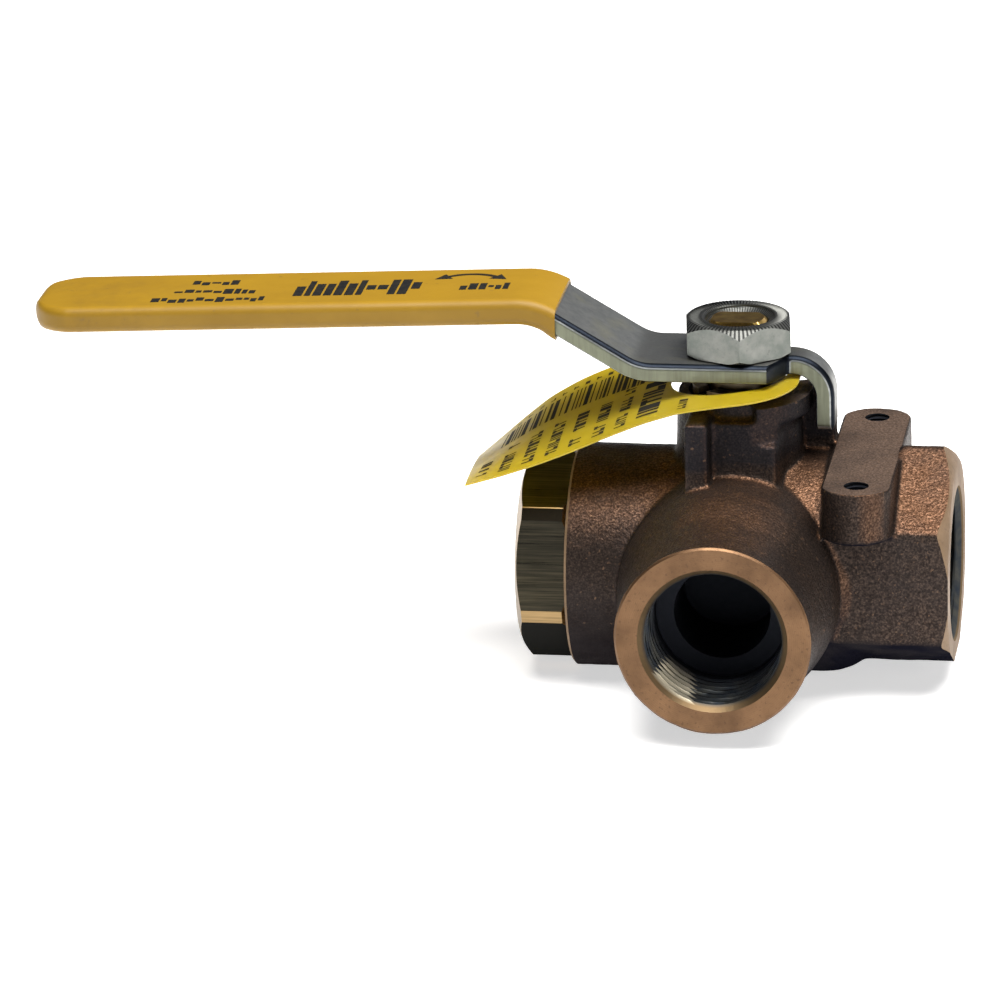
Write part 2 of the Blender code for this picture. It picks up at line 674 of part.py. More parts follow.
def make_tag(material):
    """The bent tag: cut flat from a fine sheet, then every point raised to its height."""
    half = TAG_HALF_WIDTH
    left = min(TAG_NEAR_LEFT, TAG_FAR_LEFT) - 1
    bm = bmesh.new()
    bmesh.ops.create_grid(bm, x_segments=34, y_segments=10, size=0.5)
    size = ((TAG_RIGHT + 1 - left) * MM, (2 * half + 2) * MM, 1.0)
    middle = ((TAG_RIGHT + 1 + left) / 2 * MM, 0, 0)
    bmesh.ops.transform(bm, verts=bm.verts, matrix=Matrix.LocRotScale(middle, None, size))
    tag = link("id_tag", mesh_from("id_tag", bm))
    solidify = tag.modifiers.new("thickness", "SOLIDIFY")
    solidify.thickness = TAG_THICKNESS * MM
    solidify.offset = 0.0
    apply_all(tag)
    x = TAG_RIGHT - TAG_CORNER
    y = half - TAG_CORNER
    outline = [(TAG_NEAR_LEFT, -half)]
    outline += arc((x, -y), TAG_CORNER, 270, 360) + arc((x, y), TAG_CORNER, 0, 90)
    outline.append((TAG_FAR_LEFT, half))
    combine(tag, "INTERSECT", extruded("tag_outline", outline, -2, 2, "XY"))
    hole = rod("tag_hole", TAG_HOLE_RADIUS, -3, 3, sides=SMALL_ROUND)
    hole.location = (TAG_HOLE_X * MM, 0, 0)
    combine(tag, "DIFFERENCE", apply_all(hole))
    for vertex in tag.data.vertices:
        x, y = vertex.co.x / MM, vertex.co.y / MM
        near = edge_height(TAG_NEAR_EDGE, x)
        far = edge_height(TAG_FAR_EDGE, x)
        across = (y + half) / (2 * half)
        vertex.co.z += (near + (far - near) * across) * MM
    return finish(tag, material, 30)


def set_origin(obj, place):
    """Put a moving piece's origin on its joint's axis without moving its shape."""
    shift = Vector(place) * MM
    obj.data.transform(Matrix.Translation(-shift))
    obj.location = shift


def build():
    bronze = make_material("cast_bronze", (0.16, 0.095, 0.065), 0.55, 0.8)
    brass = make_material("machined_brass", (0.38, 0.29, 0.13), 0.3, 1.0)
    seal_soft = make_material("seal_ptfe", (0.85, 0.85, 0.82), 0.45, 0.0)
    seat_soft = make_material("seat_left_ptfe", (0.9, 0.9, 0.86), 0.4, 0.0)
    other_seat_soft = make_material("seat_right_ptfe", (0.9, 0.9, 0.86), 0.4, 0.0)
    chrome = make_material("ball_chrome", (0.75, 0.75, 0.75), 0.12, 1.0)
    stem_brass = make_material("stem_brass", (0.72, 0.52, 0.2), 0.3, 1.0)
    soft = {
        place: make_material(place + "_ptfe", (0.88, 0.88, 0.84), 0.5, 0.0)
        for place in ("bearing", "lower", "middle", "upper")
    }
    gland_brass = make_material("gland_brass", (0.6, 0.45, 0.2), 0.35, 1.0)
    zinc = make_material("zinc_plate", (0.42, 0.43, 0.42), 0.35, 0.9)
    vinyl = make_material("yellow_vinyl", (0.72, 0.43, 0.03), 0.45, 0.0)
    nut_zinc = make_material("nut_zinc", (0.5, 0.5, 0.46), 0.3, 0.95)
    tag_yellow = make_material("tag_yellow", (0.75, 0.55, 0.02), 0.4, 0.0)

    make_body(bronze)
    make_retainer(brass)
    make_seal(seal_soft)
    make_seat("seat_ring_left", "-X", seat_soft)
    make_seat("seat_ring_right", "X", other_seat_soft)
    make_packing(soft, gland_brass)
    turning = [
        make_ball(chrome), make_stem(stem_brass), make_lever(zinc), make_sleeve(vinyl),
        make_nut(nut_zinc), make_tag(tag_yellow),
    ]
    pivot = (0, 0, PLATE_TOP)
    for piece in turning:
        set_origin(piece, pivot)


clear_scene()
parts = make_collection("three_way_valve")
cutters = make_collection("cutters")
build()
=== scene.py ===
"""The looks of a three way ball valve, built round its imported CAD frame.

Lengths are in millimetres in the frame's axes and scaled to metres when a mesh is made.
+X is the run, -Y the branch and +Z the stem; the origin is the centre of the ball.
"""

import math
import random

import bmesh
import bpy
import numpy as np
from mathutils import Matrix, Vector


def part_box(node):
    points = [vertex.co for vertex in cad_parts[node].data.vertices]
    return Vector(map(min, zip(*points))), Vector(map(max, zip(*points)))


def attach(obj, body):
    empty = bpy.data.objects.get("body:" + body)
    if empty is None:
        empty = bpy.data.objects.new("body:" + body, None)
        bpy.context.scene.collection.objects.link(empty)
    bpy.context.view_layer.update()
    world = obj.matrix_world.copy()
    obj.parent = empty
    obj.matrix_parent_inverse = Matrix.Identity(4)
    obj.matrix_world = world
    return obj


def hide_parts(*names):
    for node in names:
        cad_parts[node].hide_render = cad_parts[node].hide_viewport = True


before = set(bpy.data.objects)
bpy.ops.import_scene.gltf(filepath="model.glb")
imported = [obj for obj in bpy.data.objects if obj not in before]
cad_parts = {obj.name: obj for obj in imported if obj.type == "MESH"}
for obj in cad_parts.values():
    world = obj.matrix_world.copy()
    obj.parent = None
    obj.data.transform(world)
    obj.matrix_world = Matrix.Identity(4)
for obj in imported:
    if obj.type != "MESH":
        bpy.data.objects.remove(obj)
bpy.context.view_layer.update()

MM = 0.001
GAP = 0.3                # between touching pieces
DRAWS = random.Random(7)


def node_box(node):
    """A CAD node's low and high corners, in millimetres."""
    low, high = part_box(node)
    return [v / MM for v in low], [v / MM for v in high]


body_low, body_high = node_box("body_casting")
lever_low, lever_high = node_box("lever_plate")
sleeve_low, sleeve_high = node_box("grip_sleeve")
nut_low, nut_high = node_box("handle_nut")

RUN_HALF = body_high[0]
BODY_LEFT = body_low[0]
BRANCH_REACH = -body_low[1]
NECK_TOP = body_high[2]
PAD_TOP = 21.6
RETAINER_RIGHT = node_box("end_retainer")[1][0]
STEM_TOP = node_box("stem")[1][2]
TAG_RIGHT = node_box("id_tag")[1][0]

# ---------------- mesh helpers


def link(name, mesh, material=None):
    """Add a mesh to the scene as an object."""
    if material:
        mesh.materials.append(material)
    obj = bpy.data.objects.new(name, mesh)
    bpy.context.scene.collection.objects.link(obj)
    return obj


def link_bmesh(name, bm, material=None):
    """Turn a bmesh, which is used up, into an object."""
    mesh = bpy.data.meshes.new(name)
    bm.to_mesh(mesh)
    bm.free()
    return link(name, mesh, material)


def from_lists(name, points, faces, material=None):
    """A closed mesh with its faces turned out, from millimetres."""
    mesh = bpy.data.meshes.new(name)
    mesh.from_pydata([Vector(p) * MM for p in points], [], faces)
    bm = bmesh.new()
    bm.from_mesh(mesh)
    bmesh.ops.recalc_face_normals(bm, faces=bm.faces)
    bm.to_mesh(mesh)
    bm.free()
    return link(name, mesh, material)


def flat_shapes(name, outlines, height, longest, cuts, material):
    """Flat faces at one height, with their long edges cut so that they can bend."""
    bm = bmesh.new()
    for outline in outlines:
        bm.faces.new([bm.verts.new((x * MM, y * MM, height * MM)) for x, y in outline])
    bmesh.ops.recalc_face_normals(bm, faces=bm.faces)
    for face in bm.faces:
        if face.normal.z < 0:
            face.normal_flip()
    long_edges = [e for e in bm.edges if e.calc_length() > longest * MM]
    bmesh.ops.subdivide_edges(bm, edges=long_edges, cuts=cuts, use_grid_fill=True)
    return link_bmesh(name, bm, material)


def apply_all(obj):
    """Replace an object's mesh by its evaluated shape, in world space."""
    bpy.context.view_layer.update()
    graph = bpy.context.evaluated_depsgraph_get()
    mesh = bpy.data.meshes.new_from_object(obj.evaluated_get(graph))
    mesh.transform(obj.matrix_world)
    old = obj.data
    obj.modifiers.clear()
    obj.data = mesh
    obj.matrix_world = Matrix.Identity(4)
    bpy.data.meshes.remove(old)
    mesh.name = obj.name
    return obj


def combine(obj, operation, *others):
    """Join, cut or intersect with other objects, which are used up. Cut faces keep
    the cutter's material."""
    for other in others:
        modifier = obj.modifiers.new(operation, "BOOLEAN")
        modifier.operation = operation
        modifier.solver = "EXACT"
        modifier.material_mode = "TRANSFER"
        modifier.object = other
        apply_all(obj)
        bpy.data.objects.remove(other, do_unlink=True)
    return obj


def turn_to(obj, axis):
    """Turn a solid made along Z so that it lies along another axis."""
    angles = {
        "Z": (0, 0, 0), "X": (0, math.pi / 2, 0), "-X": (0, -math.pi / 2, 0),
        "-Y": (math.pi / 2, 0, 0),
    }
    obj.rotation_euler = angles[axis]
    return apply_all(obj)


def tube(name, points, rows, sides, material):
    """A solid through rows of points, capped at the first and the last row."""
    faces = []
    for row in range(rows - 1):
        a, b = row * sides, (row + 1) * sides
        for i in range(sides):
            j = (i + 1) % sides
            faces.append((a + i, a + j, b + j, b + i))
    faces.append(tuple(range(sides)))
    faces.append(tuple(range((rows - 1) * sides, rows * sides)))
    return from_lists(name, points, faces, material)


def revolved(name, radii, heights, axis="Z", material=None):
    """A capped solid from rows of radii and heights, one column for each angle."""
    radii, heights = np.broadcast_arrays(radii, heights)
    rows, sides = radii.shape
    angles = np.arange(sides) * (2 * math.pi / sides)
    x, y = radii * np.cos(angles), radii * np.sin(angles)
    points = np.stack([x, y, heights], axis=-1).reshape(-1, 3)
    return turn_to(tube(name, points.tolist(), rows, sides, material), axis)


def lathe(name, profile, axis="Z", sides=96, material=None):
    """A capped solid of revolution from (radius, height) pairs."""
    profile = np.array(profile, float)
    radii = np.repeat(profile[:, :1], sides, axis=1)
    return revolved(name, radii, profile[:, 1:], axis, material)


def box(name, low, high, material=None):
    """A box between two corners."""
    bm = bmesh.new()
    size = [(b - a) * MM for a, b in zip(low, high)]
    middle = [(a + b) / 2 * MM for a, b in zip(low, high)]
    bmesh.ops.create_cube(bm, size=1.0, matrix=Matrix.LocRotScale(Vector(middle), None, size))
    return link_bmesh(name, bm, material)


def slab(name, outline, low, high, material=None):
    """A flat outline in X and Y made solid between two heights."""
    n = len(outline)
    points = [(x, y, low) for x, y in outline] + [(x, y, high) for x, y in outline]
    faces = [tuple(range(n)), tuple(range(n, 2 * n))]
    faces += [(i, (i + 1) % n, n + (i + 1) % n, n + i) for i in range(n)]
    return from_lists(name, points, faces, material)


def arc(centre, radius, start, end, steps=12):
    """Points along a circle between two angles in degrees."""
    angles = [math.radians(start + (end - start) * i / steps) for i in range(steps + 1)]
    return [(centre[0] + radius * math.cos(t), centre[1] + radius * math.sin(t)) for t in angles]


def hexagon_prism(name, corner, low, high, turn, axis, material=None):
    """A hexagonal prism made along Z, its first corner at the angle turn from +X."""
    ring = arc((0, 0), corner, turn, turn + 300, 5)
    return turn_to(slab(name, ring, low, high, material), axis)


def keep(obj, body, slot, *nodes, angle=32):
    """Shade a piece, put it on its body, and let it stand for the CAD nodes."""
    obj.data.shade_smooth()
    obj.data.set_sharp_from_angle(angle=math.radians(angle))
    flats = obj.modifiers.new("flats", "WEIGHTED_NORMAL")
    flats.keep_sharp = True
    apply_all(obj)
    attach(obj, body)
    if nodes:
        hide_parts(*nodes)
    return obj


def thread_wave(turns):
    """A V with flat crests (0) and roots (1), by the number of turns."""
    phase = turns - np.floor(turns)
    return np.clip(1.5 - np.abs(phase - 0.5) * 4.0, 0.0, 1.0)


def around(sides):
    """The part of a turn at each column of a revolved solid."""
    return np.arange(sides)[None, :] / sides


# ---------------- materials


class Look:
    """A procedural material, built node by node on its shader."""

    def __init__(self, name, roughness, metallic, **values):
        self.material = bpy.data.materials.new(name)
        self.material.use_nodes = True
        self.tree = self.material.node_tree
        self.shader = self.tree.nodes["Principled BSDF"]
        self.shader.inputs["Roughness"].default_value = roughness
        self.shader.inputs["Metallic"].default_value = metallic
        for key, value in values.items():
            self.shader.inputs[key.replace("_", " ")].default_value = value
        coordinates = self.node("ShaderNodeTexCoord")
        self.place = coordinates.outputs["Object"]
        self.normal = coordinates.outputs["Normal"]

    def node(self, kind, inputs=None, **settings):
        node = self.tree.nodes.new(kind)
        for key, value in settings.items():
            setattr(node, key, value)
        for key, value in (inputs or {}).items():
            if isinstance(value, bpy.types.NodeSocket):
                self.tree.links.new(value, node.inputs[key])
            else:
                node.inputs[key].default_value = value
        return node

    def stretched(self, x, y, z):
        """Places scaled on each axis, for noise that is longer one way."""
        mapping = self.node("ShaderNodeMapping", {"Vector": self.place, "Scale": (x, y, z)})
        return mapping.outputs["Vector"]

    def noise(self, scale, detail=3.0, roughness=0.55, place=None):
        node = self.node("ShaderNodeTexNoise", {
            "Vector": place or self.place, "Scale": scale, "Detail": detail,
            "Roughness": roughness,
        })
        return node.outputs["Fac"]

    def ramp(self, value, *stops):
        """A colour ramp; each stop is (position, grey) or (position, (r, g, b))."""
        node = self.node("ShaderNodeValToRGB", {"Fac": value})
        elements = node.color_ramp.elements
        while len(elements) < len(stops):
            elements.new(0.5)
        for element, (position, colour) in zip(elements, stops):
            element.position = position
            rgb = colour if isinstance(colour, tuple) else (colour,) * 3
            element.color = (*rgb, 1.0)
        return node.outputs["Color"]

    def mix(self, factor, a, b, blend="MIX"):
        """Colour a at factor 0 and b at 1; each is (r, g, b) or another node's output."""
        a, b = ((*v, 1.0) if isinstance(v, tuple) else v for v in (a, b))
        colours = {0: factor, 6: a, 7: b}
        return self.node("ShaderNodeMix", colours, data_type="RGBA", blend_type=blend).outputs[2]

    def patchy(self, noise, low, high, a, b, most=1.0):
        """Colour a, turning to b where the noise goes from low to high."""
        return self.mix(self.ramp(noise, (low, 0.0), (high, most)), a, b)

    def math(self, operation, a, b=0.0):
        return self.node("ShaderNodeMath", {0: a, 1: b}, operation=operation).outputs[0]

    def times(self, a, b):
        return self.math("MULTIPLY", a, b)

    def axis(self, letter):
        split = self.node("ShaderNodeSeparateXYZ", {"Vector": self.place})
        return split.outputs[letter]

    def dot(self, vector, way):
        node = self.node("ShaderNodeVectorMath", {0: vector, 1: way}, operation="DOT_PRODUCT")
        return node.outputs["Value"]

    def facing(self, x, y, z):
        """How far the surface faces a direction, from -1 to 1."""
        return self.dot(self.normal, (x, y, z))

    def along(self, x, y, z):
        """How far a place lies along a direction, in metres."""
        return self.dot(self.place, (x, y, z))

    def between(self, value, low, high):
        """0 at low and 1 at high, in metres for a place."""
        node = self.node("ShaderNodeMapRange", {"Value": value, "From Min": low, "From Max": high})
        return node.outputs["Result"]

    def drive(self, socket, value):
        self.tree.links.new(value, self.shader.inputs[socket])

    def colour(self, value):
        self.drive("Base Color", value)

    def metallic(self, value):
        self.drive("Metallic", value)

    def roughness(self, value):
        self.drive("Roughness", value)

    def bump(self, *layers):
        """Each layer is (height, strength, distance in metres)."""
        normal = None
        for height, strength, distance in layers:
            inputs = {"Height": height, "Strength": strength, "Distance": distance}
            if normal:
                inputs["Normal"] = normal
            normal = self.node("ShaderNodeBump", inputs).outputs["Normal"]
        self.drive("Normal", normal)


def cast_look():
    """Sand cast bronze: painted light turns it copper where it faces up and forward, painted shade
    darkens the sides and the left, almost black below, and a painted shadow darkens round the neck."""
    look = Look("sand_cast_bronze", 0.5, 0.85, Specular_IOR_Level=0.0)
    grain = look.noise(2600, 3.0, 0.6)
    coarse = look.noise(1100, 2.0, 0.5)
    patches = look.noise(90, 4.0, 0.6)
    speck = look.node("ShaderNodeTexVoronoi", {"Vector": look.place, "Scale": 2600})
    side, painted_copper_light, level = (
        look.ramp(grain, (0.3, dark), (0.5, middle), (0.7, light)) for dark, middle, light in (
            ((0.019, 0.014, 0.012), (0.046, 0.034, 0.028), (0.105, 0.074, 0.058)),
            ((0.036, 0.018, 0.01), (0.096, 0.05, 0.029), (0.23, 0.125, 0.076)),
            ((0.07, 0.048, 0.036), (0.145, 0.1, 0.076), (0.26, 0.18, 0.135))))
    # painted light: copper where the surface faces up and forward, towards the top lamp; painted
    # shade on the sides
    tone = look.mix(look.between(look.facing(0.1, -0.5, 0.86), 0.78, 0.98), side, painted_copper_light)
    flat = look.between(look.facing(0.0, 0.0, 1.0), 0.985, 0.998)
    high = look.between(look.axis("Z"), (PAD_TOP - 0.4) * MM, (PAD_TOP - 0.1) * MM)
    pad = look.times(flat, high)
    tone = look.mix(pad, tone, level)
    # painted light: a copper strip where the surface faces right and forward, towards the right
    # lamp
    blend = look.times(look.between(look.facing(0.5, -0.86, 0.1), 0.9, 0.99), 0.6)
    tone = look.mix(blend, tone, painted_copper_light)
    # painted shade: almost black and not metallic where the surface faces down
    under = look.between(look.facing(0.0, -0.2, -0.98), 0.1, 0.7)
    tone = look.mix(under, tone, (0.006, 0.006, 0.01))
    look.metallic(look.ramp(under, (0.0, 0.85), (1.0, 0.0)))
    # painted shade: darker towards the left end, away from the lamps
    left = look.times(look.between(look.axis("X"), -0.012, -0.02), 0.5)
    tone = look.mix(left, tone, (0.022, 0.017, 0.015))
    # painted shadow of the handle and tag: near black round the neck
    neck = look.times(look.between(look.axis("Z"), 0.0222, 0.0236), 0.72)
    tone = look.mix(neck, tone, (0.017, 0.018, 0.023))
    stained = look.patchy(patches, 0.42, 0.72, tone, (0.032, 0.028, 0.028), 0.5)
    # bright copper specks for the casting's grains that also serve as painted glints; none on the
    # painted shade below
    flake = look.ramp(speck.outputs["Color"], (0.84, 0.0), (0.92, 0.6))
    painted_glints = look.times(flake, look.ramp(coarse, (0.4, 0.0), (0.6, 1.0)))
    painted_glints = look.times(painted_glints, look.math("SUBTRACT", 1.0, under))
    look.colour(look.mix(painted_glints, stained, (0.2, 0.12, 0.075)))
    rough = look.ramp(grain, (0.3, 0.6), (0.7, 0.36))
    look.roughness(look.mix(pad, rough, (0.65, 0.65, 0.65)))
    look.bump((coarse, 0.5, 0.0003), (grain, 0.7, 0.00018))
    return look.material


def machined_look(name, axis_letter, base, dark, roughness=0.36, metallic=0.85):
    """A turned face with fine tool rings round an axis."""
    look = Look(name, roughness, metallic, Specular_IOR_Level=0.2)
    rings = look.node(
        "ShaderNodeTexWave", {"Vector": look.place, "Scale": 900, "Distortion": 1.5, "Detail": 2.0},
        wave_type="RINGS", rings_direction=axis_letter).outputs["Fac"]
    cloud = look.noise(160, 4.0, 0.6)
    pits = look.ramp(look.noise(1700, 2.0, 0.5), (0.6, 0.0), (0.72, 1.0))
    tone = look.patchy(cloud, 0.3, 0.75, base, dark)
    tone = look.mix(look.times(pits, 0.5), tone, (0.06, 0.036, 0.024))
    look.colour(look.mix(look.times(rings, 0.18), tone, dark))
    look.roughness(look.ramp(cloud, (0.3, roughness - 0.05), (0.8, roughness + 0.14)))
    look.bump((rings, 0.1, 0.00005), (look.noise(1300, 3.0), 0.12, 0.0001))
    return look.material


def thread_look(name, axis_letter, mouth, lip_end, metallic, painted_glint_way=None):
    """The inside of a port: brass at the mouth, painted shade on the threads, almost black further
    in.
    Where painted_glint_way gives a direction, the bore's wall on that side has a painted highlight
    strip."""
    look = Look(name, 0.34, metallic, Specular_IOR_Level=0.0)
    depth = look.axis(axis_letter)
    inward = math.copysign(MM, mouth)
    cloud = look.noise(300, 4.0, 0.6)
    # painted shade: dark threads behind the brass mouth
    threads = look.patchy(cloud, 0.35, 0.7, (0.02, 0.025, 0.033), (0.05, 0.05, 0.044))
    if painted_glint_way:
        # painted highlight: a bright strip along the bore's wall on one side
        strip = look.between(look.along(*painted_glint_way), 0.01195, 0.0121)
        threads = look.mix(look.times(strip, 0.85), threads, (0.46, 0.42, 0.32))
    lip = look.between(depth, mouth - lip_end * inward, mouth - 0.5 * lip_end * inward)
    tone = look.mix(lip, threads, (0.115, 0.078, 0.042))
    # painted shade: almost black further into the bore
    painted_deep_shade = look.between(depth, mouth - 8 * inward, mouth - 13.5 * inward)
    look.colour(look.mix(painted_deep_shade, tone, (0.02, 0.022, 0.028)))
    look.roughness(look.ramp(painted_deep_shade, (0.0, 0.42), (1.0, 0.65)))
    look.bump((look.noise(1500, 2.0), 0.15, 0.0001))
    return look.material


def corner_look():
    """The retainer's turned corners, the upper front one near black with painted shade under a thin
    bright edge.
    """
    look = Look("turned_corners", 0.28, 1.0)
    streaks = look.noise(1.0, 4.0, 0.65, look.stretched(60, 2600, 2600))
    bright = look.ramp(streaks, (0.3, (0.16, 0.11, 0.052)), (0.7, (0.31, 0.21, 0.1)))
    out, across = (0.0, -0.7524, 0.6587), (0.0, 0.6587, 0.7524)
    # painted shade: the upper front corner near black and rough, below its thin bright edge
    facing_corner = look.between(look.facing(*out), 0.985, 0.99)
    below_edge = look.between(look.along(*across), 0.0012, 0.001)
    painted_dark_band = look.times(facing_corner, below_edge)
    look.colour(look.mix(painted_dark_band, bright, (0.012, 0.01, 0.007)))
    look.roughness(look.ramp(painted_dark_band, (0.0, 0.28), (1.0, 0.6)))
    look.bump((streaks, 0.12, 0.00004))
    return look.material


def drawn_brass_look():
    """Drawn bar with fine streaks along the run, and painted shade almost black below."""
    look = Look("drawn_brass", 0.3, 0.95, Specular_IOR_Level=0.0)
    streaks = look.noise(1.0, 4.0, 0.65, look.stretched(60, 2600, 2600))
    broad = look.noise(1.0, 3.0, 0.5, look.stretched(25, 420, 420))
    tone = look.ramp(
        streaks, (0.32, (0.032, 0.029, 0.02)), (0.5, (0.06, 0.053, 0.036)),
        (0.7, (0.105, 0.088, 0.056)))
    tone = look.patchy(broad, 0.35, 0.7, tone, (0.03, 0.029, 0.024), 0.6)
    # painted shade: almost black and not metallic where the bar faces down
    under = look.between(look.facing(0.0, -0.3, -0.95), 0.6, 0.8)
    look.colour(look.mix(under, tone, (0.012, 0.012, 0.011)))
    look.metallic(look.ramp(under, (0.0, 0.95), (1.0, 0.0)))
    look.roughness(look.ramp(streaks, (0.3, 0.26), (0.7, 0.42)))
    look.bump((streaks, 0.22, 0.00005))
    return look.material


def lever_look():
    """Plated steel: mottled on its flats and streaked on its sheared sides, with painted shade
    on the roll and a thin painted highlight between the two."""
    look = Look("zinc_lever", 0.36, 0.9)
    cloud = look.noise(420, 5.0, 0.68)
    fine = look.noise(1100, 3.0, 0.6)
    smear = look.noise(1.0, 3.0, 0.6, look.stretched(60, 190, 260))
    streaks = look.noise(1.0, 3.0, 0.6, look.stretched(1100, 1100, 90))
    tone = look.patchy(cloud, 0.38, 0.62, (0.215, 0.222, 0.215), (0.3, 0.302, 0.285))
    tone = look.patchy(smear, 0.52, 0.75, tone, (0.42, 0.4, 0.26), 0.4)
    tone = look.patchy(fine, 0.6, 0.76, tone, (0.12, 0.12, 0.13), 0.5)
    sheared = look.patchy(streaks, 0.38, 0.62, (0.136, 0.144, 0.104), (0.17, 0.18, 0.13))
    edge = look.math("ABSOLUTE", look.facing(0.0, 1.0, 0.0))
    # painted shade: near black on the rounded edge
    painted_roll_shading = look.mix(look.between(edge, 0.1, 0.25), tone, (0.008, 0.011, 0.017))
    # painted highlight: a thin bright line where the rounded edge meets the sheared side
    painted_edge_glint = look.ramp(smear, (0.35, (0.2, 0.215, 0.215)), (0.6, (0.5, 0.53, 0.52)))
    painted_roll_shading = look.mix(look.between(edge, 0.87, 0.91), painted_roll_shading, painted_edge_glint)
    look.colour(look.mix(look.between(edge, 0.95, 0.975), painted_roll_shading, sheared))
    look.roughness(look.ramp(cloud, (0.3, 0.46), (0.7, 0.31)))
    look.bump((fine, 0.18, 0.00008), (cloud, 0.05, 0.0002), (streaks, 0.05, 0.00005))
    return look.material


def nut_look():
    """Zinc plate, the serrated top darker than the six sides with painted shade, its teeth striped
    with painted light and shade.
    """
    look = Look("zinc_nut", 0.34, 0.9)
    cloud = look.noise(260, 4.0, 0.62)
    fine = look.noise(1200, 3.0, 0.6)
    sides = look.patchy(cloud, 0.36, 0.66, (0.125, 0.138, 0.125), (0.2, 0.205, 0.19))
    sides = look.patchy(fine, 0.6, 0.76, sides, (0.08, 0.08, 0.075), 0.5)
    # painted light and shade: one light and one dark stripe for each of the 80 teeth
    turn = look.math("ARCTAN2", look.axis("Y"), look.axis("X"))
    teeth = look.math("SINE", look.times(turn, 80.0))
    top = look.mix(look.between(teeth, -0.5, 0.5), (0.018, 0.019, 0.018), (0.12, 0.122, 0.115))
    # painted shade: the upward faces take the darker colour
    upward = look.between(look.facing(0.0, 0.0, 1.0), 0.3, 0.6)
    look.colour(look.mix(upward, sides, top))
    look.roughness(look.ramp(upward, (0.0, 0.34), (1.0, 0.48)))
    look.bump((fine, 0.18, 0.00008), (cloud, 0.12, 0.0002))
    return look.material


def brass_look(name, base, dark, roughness, dull_below=None):
    """Turned metal; below a given height it turns dark brown."""
    look = Look(name, roughness, 1.0)
    cloud = look.noise(420, 3.0, 0.6)
    tone = look.patchy(cloud, 0.35, 0.7, base, dark)
    if dull_below is not None:
        shine = look.between(look.axis("Z"), dull_below - 0.001, dull_below)
        tone = look.mix(shine, (0.07, 0.055, 0.035), tone)
    look.colour(tone)
    look.bump((look.noise(1600, 2.0), 0.12, 0.00006))
    return look.material


def vinyl_look():
    """Dipped yellow vinyl, grimy towards the tip, with painted shade darkening its front side."""
    look = Look("yellow_vinyl", 0.42, 0.0, Specular_IOR_Level=0.3)
    cloud = look.noise(45, 4.0, 0.6)
    fine = look.noise(900, 3.0, 0.6)
    tone = look.patchy(cloud, 0.3, 0.75, (0.325, 0.188, 0.012), (0.25, 0.14, 0.009))
    tip = look.between(look.axis("X"), -0.095, -0.134)
    dirt = look.ramp(look.noise(130, 5.0, 0.7), (0.45, 0.0), (0.75, 1.0))
    grime = look.times(dirt, tip)
    tone = look.mix(look.times(grime, 0.6), tone, (0.13, 0.075, 0.02))
    # painted shade: the front side darker
    front = look.between(look.facing(0.0, -1.0, 0.0), 0.5, 0.95)
    tone = look.mix(front, tone, (0.78, 0.77, 0.66), "MULTIPLY")
    specks = look.ramp(look.noise(520, 2.0, 0.5), (0.7, 0.0), (0.76, 0.5))
    look.colour(look.mix(specks, tone, (0.15, 0.088, 0.02)))
    look.roughness(look.ramp(cloud, (0.3, 0.36), (0.7, 0.5)))
    look.bump((fine, 0.1, 0.0001), (cloud, 0.15, 0.0006))
    return look.material


def film_look():
    """Thin printed film that lets some light through."""
    look = Look("tag_film", 0.34, 0.0, Specular_IOR_Level=0.4, Subsurface_Weight=0.65,
                Subsurface_Scale=0.003, Subsurface_Radius=(1.0, 0.8, 0.2))
    cloud = look.noise(75, 4.0, 0.6)
    look.colour(look.patchy(cloud, 0.3, 0.75, (0.31, 0.225, 0.008), (0.25, 0.18, 0.007)))
    look.roughness(look.ramp(cloud, (0.3, 0.28), (0.7, 0.42)))
    look.bump((cloud, 0.12, 0.0005), (look.noise(1500, 2.0), 0.05, 0.00005))
    return look.material


def ink_look():
    look = Look("black_ink", 0.6, 0.0, Specular_IOR_Level=0.2)
    cloud = look.noise(900, 3.0, 0.7)
    look.colour(look.ramp(cloud, (0.3, (0.005, 0.006, 0.008)), (0.8, (0.025, 0.022, 0.015))))
    return look.material


def soft_look():
    look = Look("white_ptfe", 0.45, 0.0)
    cloud = look.noise(300, 3.0, 0.6)
    look.colour(look.ramp(cloud, (0.3, (0.8, 0.79, 0.75)), (0.7, (0.88, 0.88, 0.84))))
    look.bump((look.noise(1400, 2.0), 0.08, 0.00005))
    return look.material


CAST = cast_look()
FACE_Y = machined_look("turned_branch_face", "Y", (0.17, 0.096, 0.05), (0.098, 0.055, 0.03))
FACE_X = machined_look(
    "turned_run_face", "X", (0.235, 0.155, 0.09), (0.16, 0.105, 0.06), 0.55, 0.3)
THREAD_Y = thread_look("branch_thread", "Y", -BRANCH_REACH * MM, 1.3, 0.85, (-0.612, 0.0, -0.791))
THREAD_X = thread_look("run_thread", "X", RUN_HALF * MM, 0.4, 0.1)
THREAD_LEFT = thread_look("retainer_thread", "X", -RUN_HALF * MM, 1.2, 0.85)
DRAWN = drawn_brass_look()
CORNER = corner_look()
ZINC = lever_look()
NUT_ZINC = nut_look()
STEM_BRASS = brass_look("stem_brass", (0.98, 0.66, 0.2), (0.6, 0.35, 0.09), 0.3, 0.0385)
GLAND_BRASS = brass_look("gland_brass", (0.14, 0.105, 0.06), (0.08, 0.06, 0.04), 0.45)
CHROME = brass_look("ball_chrome", (0.3, 0.31, 0.33), (0.2, 0.21, 0.23), 0.3)
VINYL = vinyl_look()
TAG_FILM = film_look()
INK = ink_look()
SOFT = soft_look()

